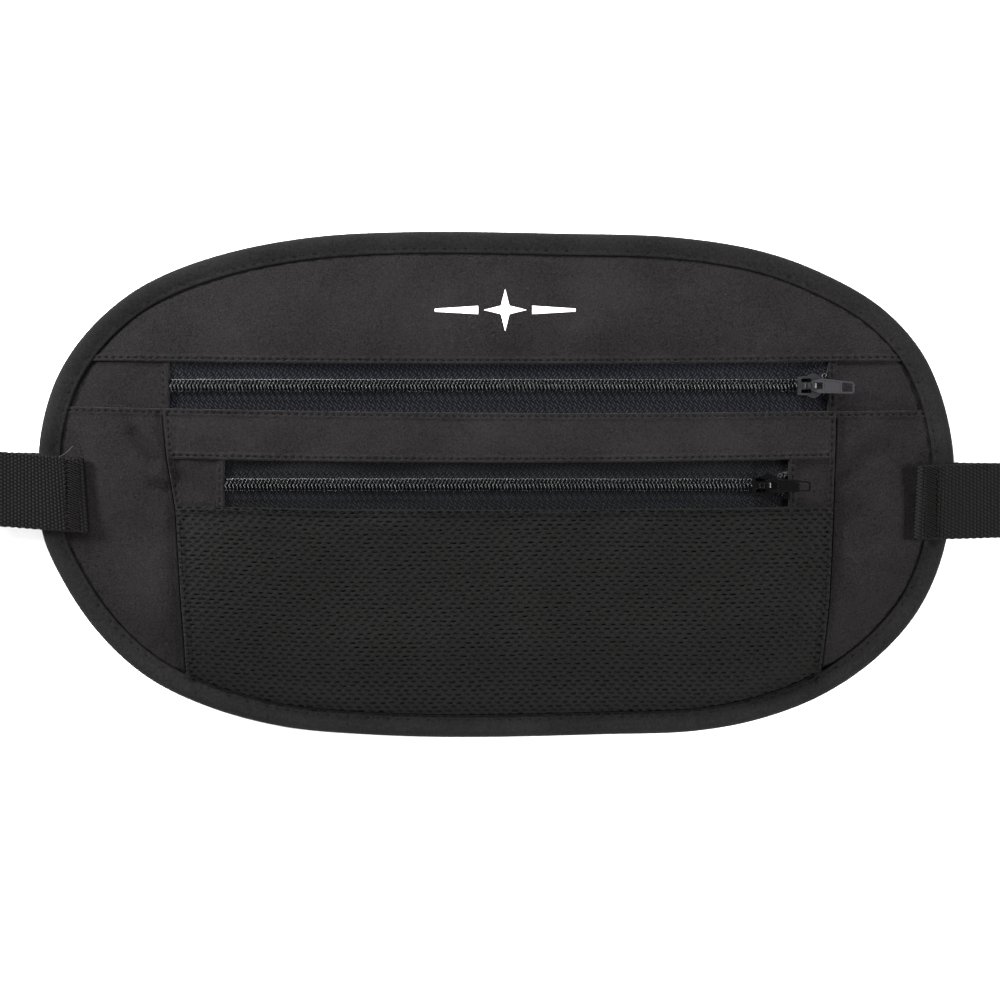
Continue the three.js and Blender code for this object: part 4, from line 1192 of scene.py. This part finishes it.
def add_zip(zipper, tape_material, coil_material):
    name = zipper["name"]
    left, right = zipper["ends"]
    wl, wr = zipper["window"]
    middle = wl + TOOTH * round(((wl + wr) / 2 - wl) / TOOTH)
    top_tape = piece(f"{name}_tape_top", mesh_of("t", *tape_half(zipper, 1, left, right)), tape_material,
                     [f"{name}_tape_top"])
    piece(f"{name}_coil_top", mesh_of("c", *coil_half(zipper, 1, wl + 0.3, wr - 0.3)), coil_material,
          [f"{name}_coil_top"])
    stitch = [chain_line(zipper, left + 2.5, right - 3)]
    stitched(f"{name}_coil_stitches_top", stitch, lambda x, y: 0 * x + zipper["coil"][1] - 0.12, pitch=TOOTH,
             share=0.6, radius=0.13, proud=0.0)
    for part, low, high, start, end, bounds in (
            ("left", left, middle, wl + 0.3, middle, (wl, middle)),
            ("right", middle, right, middle, wr - 0.3, (wr, middle))):
        tape = piece(f"{name}_tape_bottom_{part}", mesh_of("t", *tape_half(zipper, -1, low, high)),
                     tape_material, [f"{name}_tape_bottom"], body=None)
        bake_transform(tape)
        coil = piece(f"{name}_coil_bottom_{part}", mesh_of("c", *coil_half(zipper, -1, start, end)),
                     coil_material, [f"{name}_coil_bottom"], body=None)
        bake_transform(coil)


def chain_line(zipper, left, right):
    x = np.arange(left, right, 0.4)
    return np.stack([x, zipper["y"] + 1.15 + chain_spread(zipper, x)], 1)


# ---- sliders and pulls, from the middle of the chain ----
SLIDER_PLAN = [[-4.5, -2.7], [-4.2, -3], [-1.4, -3.15], [-0.6, -3.6], [0.2, -4.0], [1.0, -4.05], [1.8, -3.8],
               [2.8, -3.2], [3.8, -2.1], [4.4, -0.8], [4.5, 0]]
SLIDER_PLAN = SLIDER_PLAN + [[x, -y] for x, y in SLIDER_PLAN[-2::-1]]
CROWN = [[-2.5, 1.7], [-2.45, 2.7], [-2.2, 3.2], [-1.9, 3.35], [-1.75, 2.95], [-1.25, 2.95], [-1.1, 3.5],
         [-0.45, 3.6], [-0.3, 3.2], [0.25, 3.2], [0.4, 3.6], [1.1, 3.55], [1.6, 3.25], [1.9, 2.6],
         [1.95, 1.7], [1.1, 1.7], [1.05, 2.6], [0.7, 2.85], [-0.5, 2.85], [-0.75, 2.3], [-0.8, 1.7]]


def slider_mesh(zipper):
    top = prism(SLIDER_PLAN, 1.0, 1.9)
    bottom = prism(SLIDER_PLAN, -2.8, -1.9)
    wedge = prism([[0.9, 0], [2.4, -0.9], [4, -1], [4, 1], [2.4, 0.9]], -2.1, 1.2)
    rails = [box_mesh((-4.5, y, -0.7), (-1.4, y + 0.6, 1.2)) for y in (-3.0, 2.4)]
    lower_rails = [box_mesh((-4.4, y, -2.0), (-1.4, y + 0.5, -1.3)) for y in (-3.0, 2.5)]
    crown_bar = side_prism(CROWN, -0.85, 0.85)
    slots = [box_mesh((-3.3, y, 0.4), (0.1, y + 1.25, 3)) for y in (-2.45, 1.2)]
    mesh = cleaned(combine(top, [bottom, wedge, *rails, *lower_rails, crown_bar], slots), 0.16)
    return moved(mesh, (zipper["slider"], zipper["y"], sum(zipper["coil"]) / 2))


def pull_mesh(length, width, tip, hole, drop):
    half = 0.35
    low, high = -width / 2, width / 2
    tip_low, tip_high = (low, low + tip) if drop else (-tip / 2, tip / 2)
    plan = [[-0.35, -1.3], [0.4, -1.75], [2.4, low], [length - 0.5, tip_low], [length, tip_low + 0.5],
            [length, tip_high - 0.5], [length - 0.5, tip_high], [3.6, high], [2.4, high - 0.2],
            [0.4, 1.75], [-0.35, 1.3]]
    plate = prism(plan, -half, half)
    window = box_mesh((0.38, -1.12, -2), (3.45, 1.12, 2))
    (near, far), wall = hole, 0.5
    sides = [[near, np.interp(near, [3.6, length], [a, b])] for a, b in ((low, tip_low), (high, tip_high))]
    slot = prism([[near, sides[0][1] + wall], [far, tip_low + wall], [far, tip_high - wall],
                  [near, sides[1][1] - wall]], -2, 2)
    edge = near - 0.4
    recess = [[3.9, low + wall], [edge, sides[0][1] + wall], [edge, sides[1][1] - wall], [3.9, high - wall]]
    hollow = [prism(recess, half - 0.16, 3), prism(recess, -3, -half + 0.16)]
    return cleaned(combine(plate, [], [window, slot, *hollow]), 0.13)


def add_sliders():
    # the upper slider takes the darker copy of the grey paint, as painted shade
    for zipper, material, pull_material, slot, size in (
            (UPPER, SHADED_SLIDER_METAL, GREY_METAL, "grey_metal", (14.0, 4.85, 3.8, (9.9, 13.4), True, -0.6)),
            (LOWER, BLACK_METAL, BLACK_METAL, "black_metal", (14.6, 5.1, 3.2, (11.0, 14.0), False, -1.5))):
        name = zipper["name"]
        piece(f"{name}_slider", slider_mesh(zipper), material, [f"{name}_slider"], f"{name}_slider")
        *shape, turn = size
        mesh = pull_mesh(*shape)
        pivot = (zipper["slider"] + 0.3, zipper["y"], sum(zipper["coil"]) / 2 + 2.45)
        piece(f"{name}_pull", moved(mesh, pivot, turn), pull_material, [f"{name}_pull"], f"{name}_pull")


# ---- straps ----
WEB_WIDTH = 25.0
WEB = 1.4
BEAD = 1.2
BEADS_ACROSS = 41
BUCKLE_Y = -0.4
BUCKLE_Z = 6.4
# the arcs at both ends of the return run, where the webbing turns back behind the pouch
LOOP_END = 284.0
TURN_X = 279.7
TURN_Z = 4.3
TURN_RADIUS = 3.6
RETURN_Z = 0.7


def turn_points(x, z, radius, start, end):
    angle = np.radians(np.linspace(start, end, 15))
    return [(x + radius * math.cos(a), z + radius * math.sin(a)) for a in angle]


def smooth_line(points):
    """A smooth open curve through points."""
    p = np.asarray(points, float)
    p = np.vstack([2 * p[0] - p[1], p, 2 * p[-1] - p[-2]])
    made = np.vstack([curve_part(p[i - 1:i + 3], 10) for i in range(1, len(p) - 2)])
    return [tuple(m) for m in (*made, p[-2])]


def strap(path, y_at, along_step, across_step, fine=None, skew=None):
    """Webbing along a path of x and z, with beaded columns across it on both faces.

    fine holds a closer step and the length that has it. skew shears the sewn end to the outline.
    """
    path = np.asarray(path, float)
    keep = np.concatenate([[True], np.linalg.norm(np.diff(path, axis=0), axis=1) > 1e-4])
    path = spaced(path[keep], along_step)
    if fine:
        close = spaced(path, fine[0])
        path = np.vstack([close[:int(fine[1] / fine[0])], path[int(fine[1] / along_step) + 1:]])
    run = run_along(path)
    normal = leftwards(path)
    w = np.linspace(-WEB_WIDTH / 2, WEB_WIDTH / 2, int(WEB_WIDTH / across_step) + 1)
    column = run[:, None] / BEAD
    k = np.floor(column)
    v = w / (2 * WEB_WIDTH / BEADS_ACROSS) + 0.5 * np.mod(k, 2)
    bead = np.sin(math.pi * (column - k))**0.6 * (0.12 + 0.88 * np.sin(math.pi * (v - np.floor(v)))**0.7)
    rim = 0.35 + 0.65 * rounded(np.abs(np.abs(w) - WEB_WIDTH / 2), 0.55)
    wavy = 0.10 * np.sin(math.pi * run / BEAD)[:, None] * (np.abs(w) > WEB_WIDTH / 2 - 0.1)
    cup = 0.12 * np.cos(math.pi * w / WEB_WIDTH)
    half = (WEB / 2 - 0.34) * rim + 0.48 * bead * rim
    y = y_at(path[:, 0])[:, None] + w + wavy * np.sign(w)
    faces = []
    for sign in (1, -1):
        shift = sign * half + cup * 0.3
        x = path[:, :1] + normal[:, :1] * shift
        if skew is not None:
            x = x + skew(path[:, :1]) * w
        faces.append(np.stack([x, y, path[:, 1:] + normal[:, 1:] * shift], 2))
    # where the webbing material paints shade between the beads
    pit_shade = np.tile(np.clip(1.7 * (1 - bead), 0, 1).ravel(), 2)
    return with_pit_shade(mesh_of("strap", *slab(*faces, -1)), pit_shade), run[-1]


def left_strap_y(x):
    return np.minimum(BUCKLE_Y, -1.5 - 0.08 * (x + 165.5))


def right_strap_y(x):
    return -5.3 + 0.028 * (x - 167.8) - 4.5 * smoothstep((x - 175) / 100)


def under_strap_y(x):
    return BUCKLE_Y + (x + LOOP_END) / (2 * LOOP_END) * (right_strap_y(LOOP_END) - BUCKLE_Y)


def tail_y(x):
    return BUCKLE_Y + 0 * x


def add_strap(name, node, form, body="root", blend=None):
    """A run of webbing. form holds what strap() takes; blend names a second body and where it starts and
    ends, which are not used: when blend is given the piece only has its place baked into its points.
    """
    mesh, long = strap(*form)
    made = piece(name, mesh, WEBBING, [node], body)
    if blend:
        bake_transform(made)


def add_straps():
    folded_end = [(-146, 8.0), *turn_points(-138, 9.65, 0.85, -90, 90), (-142.5, 10.25), (-144.3, 10.3)]
    run = smooth_line([(-145, 9.98), (-151, 9.4), (-157, 8.8), (-164, 8.4), (-170, 8.6), (-175, 8.95),
                       (-179.5, 9.0)])
    loop = turn_points(-179.5, BUCKLE_Z, 2.6, 90, 270)[1:]
    back = smooth_line([loop[-1], (-177, 3.85), (-174, 4.4), (-171, 5.6), (-168, 6.1)])[1:]
    add_strap("strap_left", "strap_left",
              (folded_end + run + loop + back, left_strap_y, 0.24, 0.24, None,
               lambda x: -0.075 * smoothstep((x + 158) / 16)))

    folded_end = [(147.5, 7.5), *turn_points(141.2, 8.8, 0.85, 270, 90)]
    run = smooth_line([(146.5, 9.4), (152, 9), (158, 8.4), (166, 7.2), (185, 5.2), (215, 4.4), (245, 5.6),
                       (268, 7.5), (TURN_X, 7.9)])
    turn = turn_points(TURN_X, TURN_Z, TURN_RADIUS, 90, -90)[1:]
    add_strap("strap_right", "strap_right",
              (folded_end + run + turn, right_strap_y, 0.5, 0.24, (0.24, 42.0),
               lambda x: 0.055 * smoothstep((158 - x) / 16)))
    add_strap("strap_under", "strap_right", ([(279.69, RETURN_Z), (-240, RETURN_Z)], under_strap_y, 0.6, 0.6))

    turn = turn_points(-TURN_X, TURN_Z, TURN_RADIUS, -90, -270)
    feed = smooth_line([(-278.7, 7.9), (-270, 7), (-255, 5.4), (-243, 4.4), (-235, 3.9), (-229.5, 3.8)])
    add_strap("strap_feed", "strap_feed", ([(-240.3, RETURN_Z), *turn, *feed], tail_y, 0.45, 0.42),
              None, ("buckle_male", (-0.282, 0, 0.0043), (-0.240, 0, 0.0043)))

    bar = turn_points(-229.5, BUCKLE_Z, 2.6, -84, 90)
    tail = smooth_line([bar[-1], (-233, 8.4), (-237, 7.1), (-244, 6.6), (-252, 6.9), (-259, 7.7),
                        (-266, 8.8)])
    add_strap("strap_tail", "strap_tail", (bar + tail[1:], tail_y, 0.45, 0.42),
              "buckle_male")


TACK_PITCH = 0.8
TACK_SLANT = 1.7


def add_bartacks():
    for name, x0, x1, z0, z1, y_at, tack_x in (
            ("bartack_left", -143.0, -138.6, 10.2, 10.5, left_strap_y, -143.5),
            ("bartack_right", 142.7, 146.6, 9.65, 9.35, right_strap_y, 147.1)):
        middle = float(y_at(np.array((x0 + x1) / 2)))
        t = np.linspace(0, 1, 9)
        lines = []
        for y in np.arange(-11.3, 11.4, TACK_PITCH):
            x = x0 + (x1 - x0) * t + rng.uniform(-0.15, 0.15)
            z = np.interp(x, (x0, x1), (z0, z1)) + WEB / 2 + 0.16
            z = z + 0.1 * np.sin(math.pi * t) - 0.32 * np.abs(2 * t - 1)**6
            lines.append(np.stack([x, middle + y + TACK_SLANT * (0.5 - t) + 0.05 * np.sin(t * 6), z], 1))
        piece(name, mesh_of(name, *tubes(lines, 0.27)), TACK_THREAD, [name])
        line = spaced([[tack_x, middle - 11.9], [tack_x, middle + 11.9]], 1.0)
        level = float(np.interp(tack_x, (x0, x1), (z0, z1))) + WEB / 2 + 0.3
        stitched(name + "_stitches", [line], lambda x, y: level + 0 * x, pitch=1.7, radius=0.3)
    t = np.linspace(0, 1, 24)
    fibre = np.stack([-145.5 + 4.2 * t, 9.3 + 3.6 * t - 0.5 * np.sin(t * 3),
                      10.6 + 0.3 * np.sin(3 * t) - 2.6 * t], 1)
    piece("stray_fibre", mesh_of("f", *tubes(fibre[None], 0.07, 5)), PALE_FIBRE)


# ---- buckle and keeper ----


def grip_ribs(first):
    """Three ribs across a buckle half, to hold it by."""
    return [box_mesh((x, BUCKLE_Y - 8, BUCKLE_Z + 4.0), (x + 0.9, BUCKLE_Y + 8, BUCKLE_Z + 4.85))
            for x in (first, first + 2.2, first + 4.4)]


def add_buckle():
    y = BUCKLE_Y
    arrow = prism([[-208, y - 3], [-204.5, y], [-208, y + 3], [-206.6, y + 3], [-203.1, y], [-206.6, y - 3]],
                  BUCKLE_Z + 4.2, BUCKLE_Z + 4.8)
    mesh = cleaned(combine(cad_mesh("buckle_female"), [*grip_ribs(-188.6), arrow]), 0.55)
    piece("buckle_female", mesh, PLASTIC, ["buckle_female"])
    mesh = cleaned(combine(cad_mesh("buckle_male"), grip_ribs(-221.2)), 0.5)
    piece("buckle_male", mesh, PLASTIC, ["buckle_male"], "buckle_male")
    for name, body, bevel in (("buckle_prong_top", "prong_top", 0.5),
                              ("buckle_prong_bottom", "prong_bottom", 0.5),
                              ("strap_keeper", "strap_keeper", 0.35)):
        piece(name, cleaned(cad_mesh(name), bevel), PLASTIC, [name], body)


# ---- printed mark: a plain four-pointed star between two tapered lines ----


def add_mark():
    x0, y0 = 2.9, 58.1
    star = []
    for k in range(8):
        angle = k * math.pi / 4
        reach = 7.2 if k % 2 == 0 else 2.0
        star.append((x0 + reach * math.cos(angle), y0 + reach * math.sin(angle)))
    bars = [[(x0 + s * 9, y0 - 1.4), (x0 + s * 23.5, y0 - 0.5), (x0 + s * 23.5, y0 + 0.5),
             (x0 + s * 9, y0 + 1.4)] for s in (-1, 1)]
    parts = []
    for outline in (star, *bars):
        points, faces, rims, _ = fill(counter_clockwise(np.array(outline, float)), 0.8, [], rim_step=0.4)
        x, y = points.T
        z = front_z(x, y)
        points, tris = two_skins(x, y, np.where(rims, z, z + 0.07), z - 0.05, faces, rims)
        parts.append((points, (), tris))
    piece("printed_mark", mesh_of("m", *joined(parts)), PRINT)


# ---- stage ----
FLOOR_DROP = 0.0002  # in metres, so that the floor clears the back panel's lowest points


def add_stage():
    scene = bpy.context.scene
    count = 9
    line = np.linspace(-3.0, 3.0, count)
    gx, gy = np.meshgrid(line, line)
    index = np.arange(count * count).reshape(count, count)
    quads = np.stack([index[:-1, :-1], index[:-1, 1:], index[1:, 1:], index[1:, :-1]], -1)
    mesh = mesh_of("floor", np.stack([gx, gy, 0 * gx - FLOOR_DROP], 2) / MM, quads)
    floor = linked("floor", mesh)
    paper = Nodes("white_paper", (0.93, 0.93, 0.93), 0.9)
    grain = paper.noise(1.5, 3.0)
    paper.color(paper.mix(grain, (0.92, 0.92, 0.92), (0.95, 0.95, 0.95)))
    mesh.materials.append(paper.material)

    world = bpy.data.worlds.new("studio")
    scene.world = world
    world.use_nodes = True
    world.node_tree.nodes["Background"].inputs["Color"].default_value = (1, 1, 1, 1)
    world.node_tree.nodes["Background"].inputs["Strength"].default_value = 0.42
    scene.view_settings.view_transform = "Standard"

    for name, place, size, power in (
            ("light_left", (-1.15, 0.45, 0.5), 0.3, 58),
            ("light_right", (1.15, 0.0, 0.5), 0.3, 32),
            ("light_top", (-0.2, 1.05, 0.6), 0.35, 36),
            ("light_front", (0.05, -1.1, 0.6), 0.4, 25)):
        lamp = bpy.data.lights.new(name, "AREA")
        lamp.size = size
        lamp.energy = power
        obj = linked(name, lamp)
        obj.location = place
        obj.rotation_euler = (-Vector(place)).to_track_quat("-Z", "Y").to_euler()

    camera = bpy.data.cameras.new("camera")
    camera.lens = 162.0
    camera.sensor_width = 36.0
    camera.clip_start, camera.clip_end = 0.05, 20
    eye = linked("camera", camera)
    eye.location = (0.00117, -0.0052, 1.509)
    scene.camera = eye


add_stage()
add_front()
add_pocket()
add_mesh()
add_back()
add_binding()
add_zip(UPPER, TAPE, COIL)
add_zip(LOWER, LOWER_TAPE, LOWER_COIL)
add_sliders()
add_straps()
add_bartacks()
add_buckle()
add_mark()
